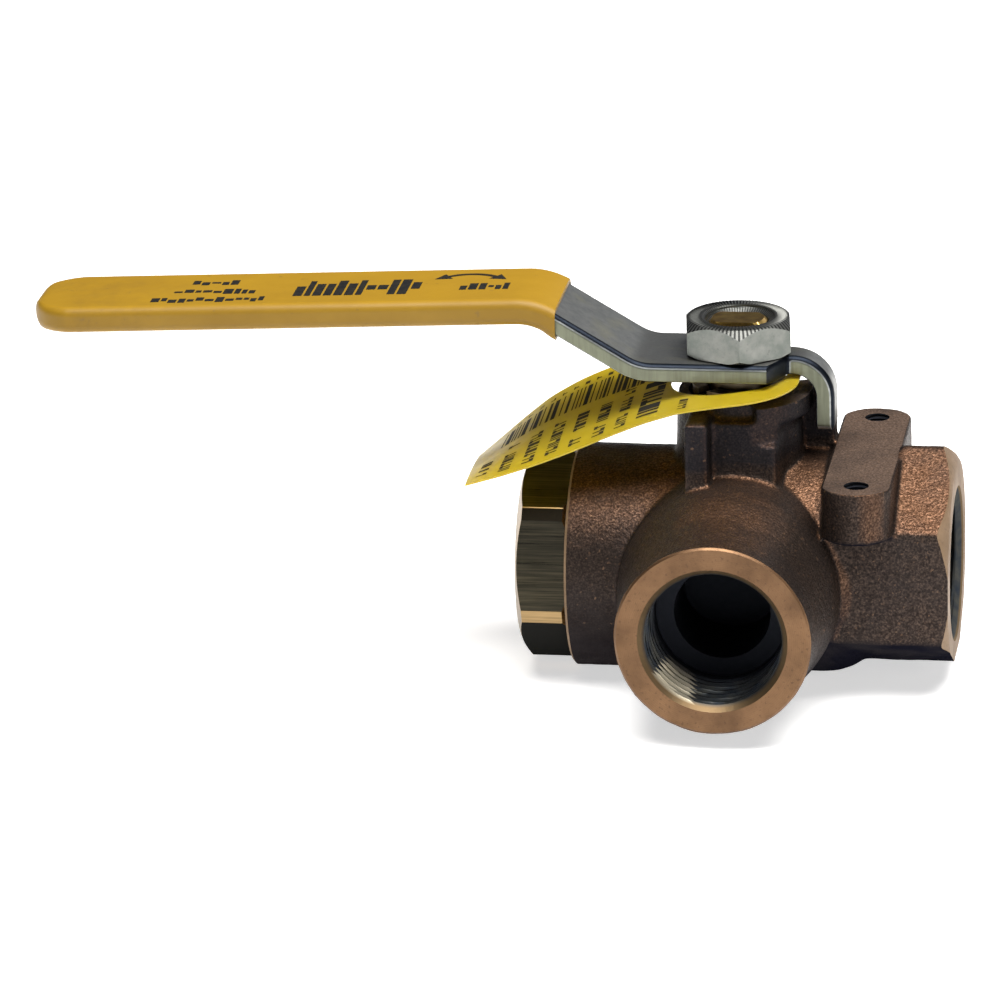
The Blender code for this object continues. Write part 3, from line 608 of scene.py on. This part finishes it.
for look, nodes in (
    (SOFT, ("retainer_seal", "seat_ring_left", "seat_ring_right", "stem_thrust_bearing",
            "packing_ring_lower", "packing_ring_middle", "packing_ring_upper")),
    (GLAND_BRASS, ("packing_gland",)), (CHROME, ("ball",)),
):
    for cad_node in nodes:
        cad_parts[cad_node].material_slots[0].material = look

# ---------------- cast body

PORT_RADIUS = 12.1
RIGHT_CHAMFER_RADIUS = 14.5
CHAMFER_RADIUS = 13.7    # of the other two ports
PORT_DEPTH = 15.0
WATERWAY_RADIUS = 8.7
THREAD_PITCH = 1.814
THREAD_DEPTH = 1.0
THREAD_TAPER = 0.03
PORT_SIDES = 112
HEXAGON_LIFT = 1.2       # above the run's axis
CAVITY_LEFT = -18.2
RETAINER_BORE_RADIUS = 17.0
STEM_BORE_RADIUS = 6.3
PACKING_BORE_RADIUS = 8.9
PACKING_FLOOR = 21.6
PAD_X = 23.7
PAD_HOLE_Y = 19.7
PAD_HALF_WIDTH = 6.5
PAD_ROUNDING = 5.65      # from a hole out to the pad's round end
PAD_LEFT, PAD_RIGHT = 17.7, 29.8
SCREW_RADIUS = 2.3
SCREW_THREAD_DEPTH = 0.3
SCREW_PITCH = 0.8


def port_cutter(name, mouth, chamfer, axis, material):
    """A chamfered taper thread, then the step down to the waterway."""
    stop = mouth - PORT_DEPTH + 0.8
    heights = np.linspace(mouth - 1.3, stop, 60)[:, None]
    wave = thread_wave((mouth - heights) / THREAD_PITCH + around(PORT_SIDES))
    fade = np.clip((heights - stop) / 3.0, 0, 1)
    threaded = PORT_RADIUS + THREAD_TAPER * (heights - stop) + THREAD_DEPTH * wave * fade
    floor = mouth - PORT_DEPTH
    ends = np.ones((1, PORT_SIDES))
    mouth_rows = [(chamfer, mouth + 1), (chamfer, mouth), (PORT_RADIUS + 0.5, mouth - 1.2)]
    floor_rows = [
        (PORT_RADIUS, floor), (WATERWAY_RADIUS + 0.2, floor - 0.5), (WATERWAY_RADIUS, floor - 1.6),
        (WATERWAY_RADIUS, 1),
    ]
    radii = np.vstack(
        [ends * r for r, z in mouth_rows] + [threaded] + [ends * r for r, z in floor_rows])
    levels = np.vstack(
        [ends * z for r, z in mouth_rows] + [heights * ends] + [ends * z for r, z in floor_rows])
    return revolved(name, radii, levels, axis, material)


def body_blank():
    """Every cast volume joined, then remeshed and relaxed so that its edges are soft."""
    barrel = lathe("barrel", [
        (17.0, 24.4), (18.6, 23.2), (19.8, 21.2), (20.5, 18.8), (20.8, 16.0),
        (20.9, BODY_LEFT - 1), (12, BODY_LEFT - 1),
    ], "X")
    hexagon = hexagon_prism("hexagon", 22.0, 17.0, RUN_HALF + 1, 0.0, "X")
    combine(hexagon, "INTERSECT", lathe("rounding", [
        (12, RUN_HALF + 2), (21.75, RUN_HALF + 2), (21.75, 15), (12, 15)], "X"))
    hexagon.location = (0, 0, HEXAGON_LIFT * MM)
    apply_all(hexagon)
    combine(
        hexagon, "DIFFERENCE", box("under", (15, -9, -30), (RUN_HALF + 3, 9, -17.3)),
        box("above", (15, -9, PAD_TOP - 1), (30.0, 9, 30)))
    branch = lathe("branch", [
        (12, BRANCH_REACH + 1), (17.95, BRANCH_REACH + 1), (18.1, BRANCH_REACH - 4),
        (18.8, 33), (20.1, 26), (20.5, 22), (20.5, 1), (12, 1),
    ], "-Y")
    neck = lathe("neck", [
        (6, NECK_TOP + 1), (11.0, NECK_TOP + 1), (11.4, NECK_TOP - 2), (11.6, 26), (12.0, 17),
        (6, 17),
    ])
    pad_outline = []
    for side in (1, -1):
        for x, y in arc((0, 0), 1, 0, 180, 16):
            pad_outline.append((
                PAD_X + side * x * PAD_HALF_WIDTH, side * (PAD_HOLE_Y + y * PAD_ROUNDING)))
    slabs = [slab(*shape) for shape in (
        ("rim", [(0, 0)] + arc((0, 0), 13.7, -70, 26, 16), 29.8, NECK_TOP + 1),
        ("front_post", [(-8.1, -18.5), (-3.7, -18.5), (-3.7, -6), (-8.1, -6)], 10, 32.0),
        ("rear_post", [(6, 3.7), (17.5, 3.7), (17.5, 8.1), (6, 8.1)], 15, 32.4),
        ("panel", [(-3.4, -13.6), (8.4, -13.6), (9.4, -6), (-3.4, -6)], 15.0, 26.6),
        ("shelf", [(-3.4, -13.6), (3.8, -13.6), (8.6, -11.0), (9.0, -6), (-3.4, -6)],
         26.0, NECK_TOP - 2.4),
        ("web", [(-7.0, -12.2), (5.0, -12.2), (6.0, -6), (-7.0, -6)], 12, NECK_TOP - 2.6),
        ("pad", pad_outline, 11.6, PAD_TOP + 0.25),
    )]
    blank = combine(barrel, "UNION", hexagon, branch, neck, *slabs)
    remesh = blank.modifiers.new("remesh", "REMESH")
    remesh.mode = "VOXEL"
    remesh.voxel_size = 0.46 * MM
    relax = blank.modifiers.new("relax", "SMOOTH")
    relax.factor = 0.5
    relax.iterations = 9
    for size, strength in ((7.0, 0.22), (1.5, 0.1)):
        clouds = bpy.data.textures.new("casting_waves", "CLOUDS")
        clouds.noise_scale = size * MM
        uneven = blank.modifiers.new("uneven", "DISPLACE")
        uneven.texture = clouds
        uneven.texture_coords = "GLOBAL"
        uneven.strength = strength * MM
        uneven.mid_level = 0.6
    apply_all(blank)
    blank.data.materials.clear()
    blank.data.materials.append(CAST)
    return blank


def facing_cutter(name, face, depth, at_face, at_depth, axis, material):
    """Everything beyond a machined end face, with its outer chamfer from the radius
    at_face down to the radius at_depth."""
    reach = 34
    return lathe(name, [
        (0.01, face + 12), (reach, face + 12), (reach, face - depth), (at_depth, face - depth),
        (at_face, face), (0.01, face),
    ], axis, 128, material)


def pad_hole_cutter(side):
    """One of the pad's two tapped holes."""
    heights = np.linspace(PAD_TOP + 1, PAD_TOP - 8, 46)[:, None]
    wave = thread_wave(heights / SCREW_PITCH + around(32)) * (heights < PAD_TOP - 0.3)
    hole = revolved("tapped_hole", SCREW_RADIUS + SCREW_THREAD_DEPTH * wave, heights, "Z", THREAD_X)
    hole.location = (PAD_X * MM, side * PAD_HOLE_Y * MM, 0)
    return apply_all(hole)


def make_body():
    """The casting with its end faces, pad and neck machined, and its bores cut."""
    cavity = [
        (0.01, 17.2), (15.6, 17.2), (15.6, CAVITY_LEFT), (RETAINER_BORE_RADIUS, CAVITY_LEFT),
        (RETAINER_BORE_RADIUS, BODY_LEFT - 1), (0.01, BODY_LEFT - 1),
    ]
    stem_bore = [
        (0.01, NECK_TOP + 1), (9.3, NECK_TOP + 1), (9.3, NECK_TOP),
        (PACKING_BORE_RADIUS, NECK_TOP - 0.5), (PACKING_BORE_RADIUS, PACKING_FLOOR),
        (STEM_BORE_RADIUS, PACKING_FLOOR), (STEM_BORE_RADIUS, 20.4), (7.9, 20.4), (7.9, 5),
        (0.01, 5),
    ]
    body = combine(
        body_blank(), "DIFFERENCE",
        facing_cutter("right_face", RUN_HALF, 2.6, 19.3, 23.3, "X", FACE_X),
        facing_cutter("left_face", -BODY_LEFT, 0.5, 20.3, 20.8, "-X", FACE_X),
        facing_cutter("branch_end", BRANCH_REACH, 0.35, 17.55, 17.9, "-Y", FACE_Y),
        box("pad_face", (PAD_LEFT, -40, PAD_TOP), (PAD_RIGHT, 40, 40), CAST),
        box("neck_face", (-30, -30, NECK_TOP), (30, 30, 50), CAST),
        port_cutter("right_port", RUN_HALF, RIGHT_CHAMFER_RADIUS, "X", THREAD_X),
        port_cutter("branch_port", BRANCH_REACH, CHAMFER_RADIUS, "-Y", THREAD_Y),
        lathe("cavity", cavity, "X", 96, THREAD_X),
        lathe("stem_bore", stem_bore, "Z", 72, THREAD_X),
        pad_hole_cutter(-1), pad_hole_cutter(1))
    body.name = "cast_body"
    return keep(body, "valve_body", "cast_bronze", "body_casting", angle=38)


def make_retainer():
    """The hexagonal end: drawn flats, corners turned round, a chamfer at the outer end."""
    across = 34.9
    shank_radius = 15.3
    thread_radius = 16.7
    hex_right = BODY_LEFT - GAP
    outer = -RUN_HALF
    retainer = hexagon_prism(
        "hex_end", across / 2 / math.cos(math.pi / 6), outer, hex_right, -11.2, "X", DRAWN)
    combine(retainer, "INTERSECT", lathe("corners", [
        (0.01, hex_right), (18.9, hex_right), (19.4, hex_right - 0.5), (19.4, outer + 1.3),
        (16.6, outer), (0.01, outer)], "X", 144, CORNER))
    combine(retainer, "UNION", lathe("shank", [
        (0.01, RETAINER_RIGHT), (shank_radius, RETAINER_RIGHT), (shank_radius, -19.8),
        (thread_radius, -19.8), (thread_radius, outer + 4), (0.01, outer + 4)], "X", 96, DRAWN))
    combine(
        retainer, "DIFFERENCE",
        port_cutter("left_port", RUN_HALF, CHAMFER_RADIUS, "-X", THREAD_LEFT),
        lathe("left_waterway", [
            (0.01, -10), (WATERWAY_RADIUS, -10), (WATERWAY_RADIUS, -28), (0.01, -28)],
            "X", 96, THREAD_LEFT))
    retainer.name = "brass_retainer"
    return keep(retainer, "valve_body", "machined_brass", "end_retainer", angle=25)


# ---------------- lever and grip

METAL = 3.4              # thickness of the lever
LEVER_HALF = lever_high[1]
PLATE_TOP = 40.8
GRIP_BEND = (-36.6, 50.4)
GRIP_SLOPE = 0.042
HUB_BEND_X = -17.8
FOLD_X = 14.7 + METAL / 2
VINYL_WALL = 0.8


def rounded_path(corners, radii, steps=14):
    """A polyline through corners, with an arc of the given radius at each inner one."""
    corners = [Vector(corner) for corner in corners]
    path = [corners[0]]
    for before, corner, after, radius in zip(corners, corners[1:], corners[2:], radii):
        a, b = (before - corner).normalized(), (after - corner).normalized()
        half = a.angle(b) / 2
        centre = corner + (a + b).normalized() * (radius / math.sin(half))
        start = corner + a * (radius / math.tan(half)) - centre
        end = corner + b * (radius / math.tan(half)) - centre
        sweep = start.angle_signed(end)
        path += [centre + Matrix.Rotation(-sweep * i / steps, 2) @ start for i in range(steps + 1)]
    return path + [corners[-1]]


def lever_path(tip_x, foot_z):
    """The middle line, as (x, z), from the grip's tip to the foot of the stop tab."""
    plate = PLATE_TOP - METAL / 2
    tip_z = GRIP_BEND[1] + GRIP_SLOPE * (tip_x - GRIP_BEND[0])
    corners = [(tip_x, tip_z), GRIP_BEND, (HUB_BEND_X, plate), (FOLD_X, plate), (FOLD_X, foot_z)]
    return rounded_path(corners, (12.0, 10.0, 6.2))


def evenly(path, step):
    """Points at an even spacing along a polyline, and their travelled lengths."""
    lengths = [0.0]
    for a, b in zip(path, path[1:]):
        lengths.append(lengths[-1] + (b - a).length)
    marks = np.linspace(0, lengths[-1], round(lengths[-1] / step) + 1)
    xs = np.interp(marks, lengths, [p.x for p in path])
    zs = np.interp(marks, lengths, [p.y for p in path])
    return [Vector((x, z)) for x, z in zip(xs, zs)], marks


def section(front, back, thickness, top_round, under_round, steps=5):
    """A rounded bar section, as (y, height) pairs; front is its -Y side."""
    half = thickness / 2
    corners = [
        (front + top_round, half - top_round, top_round, 180, 90),
        (back - top_round, half - top_round, top_round, 90, 0),
        (back - under_round, -half + under_round, under_round, 0, -90),
        (front + under_round, -half + under_round, under_round, -90, -180),
    ]
    ring = []
    for y, z, radius, start, end in corners:
        ring += arc((y, z), radius, start, end, steps)
    return ring


def swept_bar(name, stations, material):
    """A closed bar through stations of (point, direction, section)."""
    points = []
    for point, ahead, ring in stations:
        side = Vector((-ahead.y, ahead.x))
        for y, height in ring:
            place = point + side * height
            points.append((place.x, y, place.y))
    return tube(name, points, len(stations), len(stations[0][2]), material)


def directions(path):
    """The heading at each point of a path."""
    last = len(path) - 1
    return [(path[min(i + 1, last)] - path[max(i - 1, 0)]).normalized() for i in range(last + 1)]


def make_lever():
    """The bent bar: full width to the hub, then waisted down to the stop tab."""
    tip_corner = 8
    soft_length = 0.9
    tab_run = 20.0
    path, marks = evenly(lever_path(lever_low[0], lever_low[2]), 0.45)
    turn = next(i for i, p in enumerate(path) if p.x > 3.0)
    stations = []
    for i, (point, ahead) in enumerate(zip(path, directions(path))):
        run = point.x if i <= turn or point.x < FOLD_X - 0.2 else tab_run
        front = np.interp(run, [6.4, 9.6, 11.5], [-LEVER_HALF, -3.6, -3.4])
        back = np.interp(run, [2.6, 7.0, 9.4, 11], [LEVER_HALF, 5.9, 3.6, 3.4])
        if marks[i] < tip_corner:
            inset = tip_corner - math.sqrt(
                max(0.0, tip_corner**2 - (tip_corner - marks[i]) ** 2))
            front, back = front + inset, back - inset
        end = marks[-1] - marks[i]
        soft = min(1.0, 0.25 + end / soft_length) if end < soft_length else 1.0
        narrower = (1 - soft) * 0.5
        stations.append((point, ahead, section(
            front + narrower, back - narrower, METAL - (1 - soft) * 0.8,
            1.25 * soft, 0.3 * soft)))
    lever = swept_bar("zinc_lever_bar", stations[1:], ZINC)
    hole = lathe("stem_hole", [(5.8, 50), (5.8, 30)], "Z", 48, ZINC)
    combine(hole, "INTERSECT", box("hole_flats", (-9, -3.5, 29), (9, 3.5, 51), ZINC))
    combine(lever, "DIFFERENCE", hole)
    return keep(lever, "handle", "zinc_plate", "lever_plate", angle=40)


def rounded_off(radius, travelled):
    """How far a rounding of the given radius cuts in, by the length from its start."""
    return radius - math.sqrt(max(0.0, radius**2 - max(0.0, radius - travelled) ** 2))


def make_sleeve():
    """The dipped vinyl grip: soft round edges, a closed tip and a flared open end."""
    start, stop = sleeve_low[0], sleeve_high[0]
    half_width = sleeve_high[1]
    thickness = METAL + 2 * VINYL_WALL
    tip_corner, nose = 9.0, 2.1
    path, marks = evenly(lever_path(start, lever_low[2]), 0.5)
    headings = directions(path)
    last = max(i for i, p in enumerate(path) if p.x < stop + 3.4 and marks[i] < 110)
    tip_marks = (0.0, 0.12, 0.35, 0.7, 1.2, 1.8)
    stations = [(mark, path[0] + headings[0] * mark, headings[0]) for mark in tip_marks]
    for i in range(1, last + 1):
        if marks[i] > tip_marks[-1] + 0.3:
            stations.append((marks[i], path[i], headings[i]))
    built = []
    for mark, point, ahead in stations:
        flare = 0.16 * np.clip((point.x - stop + 1.4) / 2.2, 0, 1) ** 2
        thick = thickness - 2 * rounded_off(nose, mark) * 0.93 + 2 * flare
        inset = rounded_off(tip_corner, mark)
        half = min(half_width - 0.16, half_width - inset * 0.98) + flare
        if mark == 0:
            thick, half = 0.7, half_width - tip_corner * 0.98
        crown = min(1.75, thick / 2 - 0.02)
        built.append((point, ahead, section(-half, half, thick, crown, crown * 0.95, 7)))
    inner_thick, inner_half = METAL + 0.3, LEVER_HALF + 0.15
    for back_step, grow in ((0, 0.3), (10, 0.12), (16, 0.0)):
        point, ahead = path[last - back_step], headings[last - back_step]
        built.append((point, ahead, section(
            -inner_half - grow, inner_half + grow, inner_thick + grow, 0.7, 0.5, 7)))
    sleeve = swept_bar("vinyl_grip", built, VINYL)
    open_end = box("open_end", (stop + 0.8, -20, 30), (stop + 20, 20, 70), VINYL)
    combine(sleeve, "DIFFERENCE", open_end)
    return keep(sleeve, "handle", "yellow_vinyl", "grip_sleeve", angle=50)


def printed(name, shapes, target, body, slot):
    """Thin ink shapes, outlines in X and Y, dropped onto a piece from above."""
    ink_lift = 0.035
    above_all = 60
    ink = flat_shapes(name, shapes, above_all, 1.2, 3, INK)
    drop = ink.modifiers.new("drop", "SHRINKWRAP")
    drop.target = target
    drop.wrap_method = "PROJECT"
    drop.use_project_z = True
    drop.use_positive_direction = False
    drop.use_negative_direction = True
    drop.offset = ink_lift * MM
    return keep(apply_all(ink), body, slot)


def bar(x0, y0, x1, y1):
    """The outline of a rectangle, anticlockwise."""
    return [(x0, y0), (x1, y0), (x1, y1), (x0, y1)]


def ring_arrow(centre, radius, start, end, width, head):
    """A curved arrow with a head at both ends, as a strip and two triangles."""
    steps = 14
    inner = arc(centre, radius - width, start, end, steps)
    outer = arc(centre, radius + width, start, end, steps)
    shapes = [[inner[i], inner[i + 1], outer[i + 1], outer[i]] for i in range(steps)]
    for at, way in ((start, -1), (end, 1)):
        t = math.radians(at)
        out = Vector((math.cos(t), math.sin(t)))
        along = Vector((-math.sin(t), math.cos(t))) * way * math.copysign(1, end - start)
        base = Vector(centre) + out * radius
        tri = [base + out * head * 0.55, base + along * head, base - out * head * 0.55]
        shapes.append([tuple(p) for p in tri])
    return shapes


def blocks(left, right, low, high, pitch):
    """A row of plain blocks of uneven width and height, with the weight of lettering."""
    shapes = []
    x = left
    while x < right:
        width = pitch * DRAWS.uniform(0.5, 0.95)
        foot = low + (high - low) * DRAWS.choice((0.0, 0.0, 0.2, 0.35))
        head = high - (high - low) * DRAWS.choice((0.0, 0.0, 0.2, 0.35))
        shapes.append(bar(x, foot, x + width, head))
        x += width + 0.18 * pitch
    return shapes


def make_grip_print(sleeve):
    """Generic marks: a two way arrow near the bend, and plain blocks for the text."""
    shapes = ring_arrow((-50.5, -1.5), 7.6, 52, 122, 0.5, 3.0)
    for row in (
        (-51.5, -42.5, -3.4, 0.4, 2.0), (-82.5, -60.0, -5.4, 3.6, 2.2),
        (-109.0, -87.5, -8.2, -5.2, 1.9), (-105.5, -91.0, -3.2, -0.2, 1.9),
        (-103.0, -94.0, 2.4, 5.2, 1.9),
    ):
        shapes += blocks(*row)
    return printed("grip_print", shapes, sleeve, "handle", "yellow_vinyl")


# ---------------- nut and stem


STEM_PITCH = 1.6
STEM_THREAD_DEPTH = 0.42


def make_nut():
    """A zinc nut with both ends chamfered and fine radial teeth round its top."""
    low, high = nut_low[2], nut_high[2]
    seat = high - 0.3
    across = 19.05
    nut = hexagon_prism(
        "hub_nut", across / 2 / math.cos(math.pi / 6), low, seat, -82.0, "Z", NUT_ZINC)
    combine(nut, "INTERSECT", lathe("nut_chamfers", [
        (0.01, seat), (9.1, seat), (9.45, seat - 0.12), (11.4, seat - 2.05), (11.4, low + 1.0),
        (10.0, low), (0.01, low)], "Z", 144, NUT_ZINC))
    sides = 480
    teeth = 80
    wave = np.abs((around(sides) * teeth) % 1.0 - 0.5) * 2
    ones = np.ones((1, sides))
    rows = [                 # radius, height, depth of the teeth
        (6.5, seat - 0.4, 0.0), (7.0, seat - 0.05, 0.1), (7.6, seat + 0.22, 0.24),
        (8.6, seat + 0.2, 0.3), (9.15, seat + 0.05, 0.28), (9.4, seat - 0.15, 0.1),
        (9.4, seat - 0.8, 0.0), (9.0, seat - 1.0, 0.0),
    ]
    radii = np.vstack([ones * r for r, z, tooth in rows])
    levels = np.vstack([ones * z - wave * tooth for r, z, tooth in rows])
    combine(nut, "UNION", revolved("crown", radii, levels, "Z", NUT_ZINC))
    heights = np.linspace(low - 1, high + 0.2, 44)[:, None]
    wave = thread_wave(heights / STEM_PITCH + around(72))
    flare = np.clip((heights - seat + 0.9) / 0.9, 0, 1) * 0.9
    combine(nut, "DIFFERENCE", revolved(
        "nut_bore", 5.7 + STEM_THREAD_DEPTH * wave + flare, heights, "Z", NUT_ZINC))
    nut.name = "hub_nut"
    return keep(nut, "handle", "nut_zinc", "handle_nut", angle=28)


def make_stem():
    """The brass stem: a tang in the ball, a shoulder, a shank, a threaded double-D end."""
    step = 36.8              # where the double-D end starts
    half_flats = 3.2
    sides = 72
    ones = np.ones((1, sides))
    rows = [(7.6, 15.4), (7.6, 18.6), (6.0, 18.6), (6.0, step - 0.4), (5.5, step)]
    radii = [ones * r for r, z in rows]
    levels = [ones * z for r, z in rows]
    heights = np.linspace(step + 0.1, STEM_TOP - 0.5, 40)[:, None]
    wave = thread_wave(heights / STEM_PITCH + around(sides))
    flat = half_flats / np.maximum(np.abs(np.sin(around(sides) * 2 * math.pi)), 1e-6)
    radii.append(np.minimum(5.45 - STEM_THREAD_DEPTH * wave, flat))
    levels.append(heights * ones)
    radii += [np.minimum(ones * 4.8, flat), np.minimum(ones * 3.6, flat - 0.6)]
    levels += [ones * STEM_TOP, ones * (STEM_TOP - 0.05)]
    stem = revolved("brass_stem", np.vstack(radii), np.vstack(levels), "Z", STEM_BRASS)
    combine(stem, "UNION", box("tang", (-6.4, -2.5, 11.3), (6.4, 2.5, 16.4), STEM_BRASS))
    return keep(stem, "handle", "stem_brass", "stem", angle=35)


# ---------------- tag

TAG_HALF = 18.0
TAG_THICKNESS = 0.3
TAG_NEAR_LEFT = -48.9
TAG_FAR_LEFT = -52.0
TAG_HOLE_X = -1.7
TAG_HOLE_RADIUS = 10.8
TAG_CORNER = 13.0


def smooth_edge(edge):
    """Heights along an edge of (x, height) points, evened out so that the sheet bends
    without kinks."""
    xs = np.linspace(edge[0][0] - 3, edge[-1][0] + 3, 281)
    known = np.array(edge, float)
    heights = np.interp(xs, known[:, 0], known[:, 1])
    slope = (known[1, 1] - known[0, 1]) / (known[1, 0] - known[0, 0])
    heights = np.where(xs < known[0, 0], known[0, 1] + (xs - known[0, 0]) * slope, heights)
    for _ in range(60):
        heights[1:-1] = (heights[:-2] + 2 * heights[1:-1] + heights[2:]) / 4
    return xs, heights


NEAR_EDGE = smooth_edge([
    (-49, 19.1), (-42, 21.2), (-35, 23.7), (-29, 26.2), (-23, 28.9), (-16, 31.9),
    (-9, 34.2), (0, 35.7), (13, 36.5),
])
FAR_EDGE = smooth_edge([
    (-52, 12.4), (-48, 15.9), (-43, 20.4), (-38, 24.6), (-32, 28.2), (-27, 30.5),
    (-13, 35.4), (0, 36.0), (13, 36.4),
])


def tag_height(x, y):
    """Height of the tag's middle surface, straight across between its two edges."""
    near, far = np.interp(x, *NEAR_EDGE), np.interp(x, *FAR_EDGE)
    across = (y + TAG_HALF) / (2 * TAG_HALF)
    return float(near + (far - near) * across)


def lift_to_tag(obj, lift=0.0):
    """Raise a flat mesh, vertex by vertex, onto the tag's middle surface."""
    for vertex in obj.data.vertices:
        x, y = vertex.co.x / MM, vertex.co.y / MM
        vertex.co.z += (tag_height(x, y) + lift) * MM
    return obj


def make_tag():
    """The hung tag: a flat sheet with its outline and hole cut, then bent to height."""
    x, y = TAG_RIGHT - TAG_CORNER, TAG_HALF - TAG_CORNER
    outline = [(TAG_NEAR_LEFT, -TAG_HALF)]
    outline += arc((x, -y), TAG_CORNER, 270, 360, 16)
    outline += arc((x, y), TAG_CORNER, 0, 90, 16)
    outline.append((TAG_FAR_LEFT, TAG_HALF))
    left, right = TAG_FAR_LEFT - 1, TAG_RIGHT + 1
    size = ((right - left) * MM, (2 * TAG_HALF + 2) * MM, 1.0)
    middle = Vector(((right + left) / 2 * MM, 0, 0))
    bm = bmesh.new()
    bmesh.ops.create_grid(bm, x_segments=110, y_segments=40, size=0.5)
    bmesh.ops.transform(bm, verts=bm.verts, matrix=Matrix.LocRotScale(middle, None, size))
    tag = link_bmesh("hang_tag", bm)
    solid = tag.modifiers.new("thickness", "SOLIDIFY")
    solid.thickness = TAG_THICKNESS * MM
    solid.offset = 0.0
    apply_all(tag)
    combine(tag, "INTERSECT", slab("tag_outline", outline, -2, 2))
    hole = lathe("tag_hole", [(TAG_HOLE_RADIUS, 3), (TAG_HOLE_RADIUS, -3)], "Z", 72)
    hole.location = (TAG_HOLE_X * MM, 0, 0)
    combine(tag, "DIFFERENCE", apply_all(hole))
    tag.data.materials.clear()
    tag.data.materials.append(TAG_FILM)
    lift_to_tag(tag)
    return keep(tag, "tag", "tag_yellow", "id_tag", angle=40)


GLYPHS = (               # strokes from corner to corner, as parts of the height and width
    ((0, 0, 1, 1),),
    ((0, 0, 1, 0.36), (0.62, 0.36, 1, 1)),
    ((0, 0, 0.3, 1), (0.3, 0.3, 1, 0.66)),
    ((0, 0, 1, 0.34), (0, 0.66, 1, 1)),
)


def glyph(x, y, height, width):
    """A plain block mark the size of a letter, as one or two strokes."""
    strokes = GLYPHS[DRAWS.randrange(4)]
    return [bar(x + height * a, y + width * b, x + height * c, y + width * d)
            for a, b, c, d in strokes]


def make_tag_print():
    """Plain blocks for the lines of text, and bars of random width along the far side."""
    ink_lift = 0.19
    shapes = []
    columns = (              # x, first and last y, height of the marks
        (-47.6, -15.5, -4.0, 2.0), (-43.2, -15.5, -0.5, 2.2), (-38.8, -15.5, -0.5, 2.2),
        (-34.4, -15.5, -1.0, 2.2), (-30.0, -15.5, -1.0, 2.2), (-25.6, -15.5, -1.0, 2.2),
        (-21.4, -15.5, 2.0, 2.0), (-17.4, -14.5, 1.0, 4.0), (-9.6, -16.0, -11.5, 1.6),
    )
    for x, low, high, height in columns:
        y = low
        width = height * 0.62
        while y < high:
            if DRAWS.random() > 0.14:
                shapes += glyph(x, y, height, width)
            y += width + 0.32
    x = -45.5
    while x < -18:
        width = DRAWS.choice((0.28, 0.28, 0.55, 0.85))
        shapes.append(bar(x, 3.2, x + width, 12.8))
        x += width + DRAWS.choice((0.3, 0.45, 0.8))
    x = -44.0
    while x < -19:
        shapes += glyph(x, 14.0, 0.9, 1.3)
        x += 2.2
    ink = flat_shapes("tag_print", shapes, 0, 1.0, 4, INK)
    return keep(lift_to_tag(ink, ink_lift), "tag", "tag_yellow")


# ---------------- build the pieces

make_body()
make_retainer()
make_lever()
grip = make_sleeve()
make_grip_print(grip)
make_nut()
make_stem()
tag_piece = make_tag()
tag_ink = make_tag_print()

# ---------------- stage, lights, camera


def make_floor():
    """A pale floor that stays light further out, so that the frame reads as white."""
    bpy.ops.mesh.primitive_plane_add(size=8.0, location=(0, 0, body_low[2] * MM - 0.0003))
    floor = bpy.context.object
    floor.name = "floor"
    look = Look("pale_floor", 0.9, 0.0, Specular_IOR_Level=0.0)
    distance = look.node("ShaderNodeVectorMath", {0: look.place}, operation="LENGTH")
    far = look.ramp(look.between(distance.outputs["Value"], 0.1, 0.55), (0.0, 0.78), (1.0, 1.0))
    grain = look.noise(30, 2.0)
    look.colour(look.ramp(grain, (0.0, (0.8, 0.8, 0.8)), (1.0, (0.84, 0.84, 0.84))))
    look.drive("Emission Color", far)
    look.shader.inputs["Emission Strength"].default_value = 0.75
    floor.data.materials.append(look.material)


def area_light(name, place, size, power, colour):
    """A rectangular light aimed at the origin."""
    light = bpy.data.lights.new(name, "AREA")
    light.shape = "RECTANGLE"
    light.size, light.size_y = size
    light.energy = power
    light.color = colour
    obj = bpy.data.objects.new(name, light)
    bpy.context.scene.collection.objects.link(obj)
    obj.location = place
    obj.rotation_euler = (-Vector(place)).to_track_quat("-Z", "Y").to_euler()


make_floor()
area_light("top_box", (0.1, -0.16, 0.72), (0.8, 0.42), 14.0, (1.0, 0.98, 0.95))
area_light("right_fill", (0.75, -0.55, 0.3), (0.4, 0.4), 1.8, (1.0, 0.93, 0.85))
area_light("back_fill", (0.45, 0.95, 0.42), (0.5, 0.4), 0.5, (0.95, 0.97, 1.0))
area_light("front_fill", (-0.2, -1.1, 0.55), (0.5, 0.3), 0.5, (1.0, 0.98, 0.95))

world = bpy.data.worlds.new("studio")
bpy.context.scene.world = world
world.use_nodes = True
sky = world.node_tree.nodes["Background"].inputs
sky["Color"].default_value = (0.55, 0.65, 1.0, 1.0)
sky["Strength"].default_value = 0.06

camera_data = bpy.data.cameras.new("camera")
camera_data.lens = 240.9
camera_data.sensor_width = 36.0
camera_data.clip_end = 20.0
camera = bpy.data.objects.new("camera", camera_data)
bpy.context.scene.collection.objects.link(camera)
camera.location = (0.1434, -1.1681, 0.4237)
camera.rotation_euler = (1.2344, 0.0252, 0.1514)
bpy.context.scene.camera = camera
bpy.context.scene.view_settings.view_transform = "Standard"
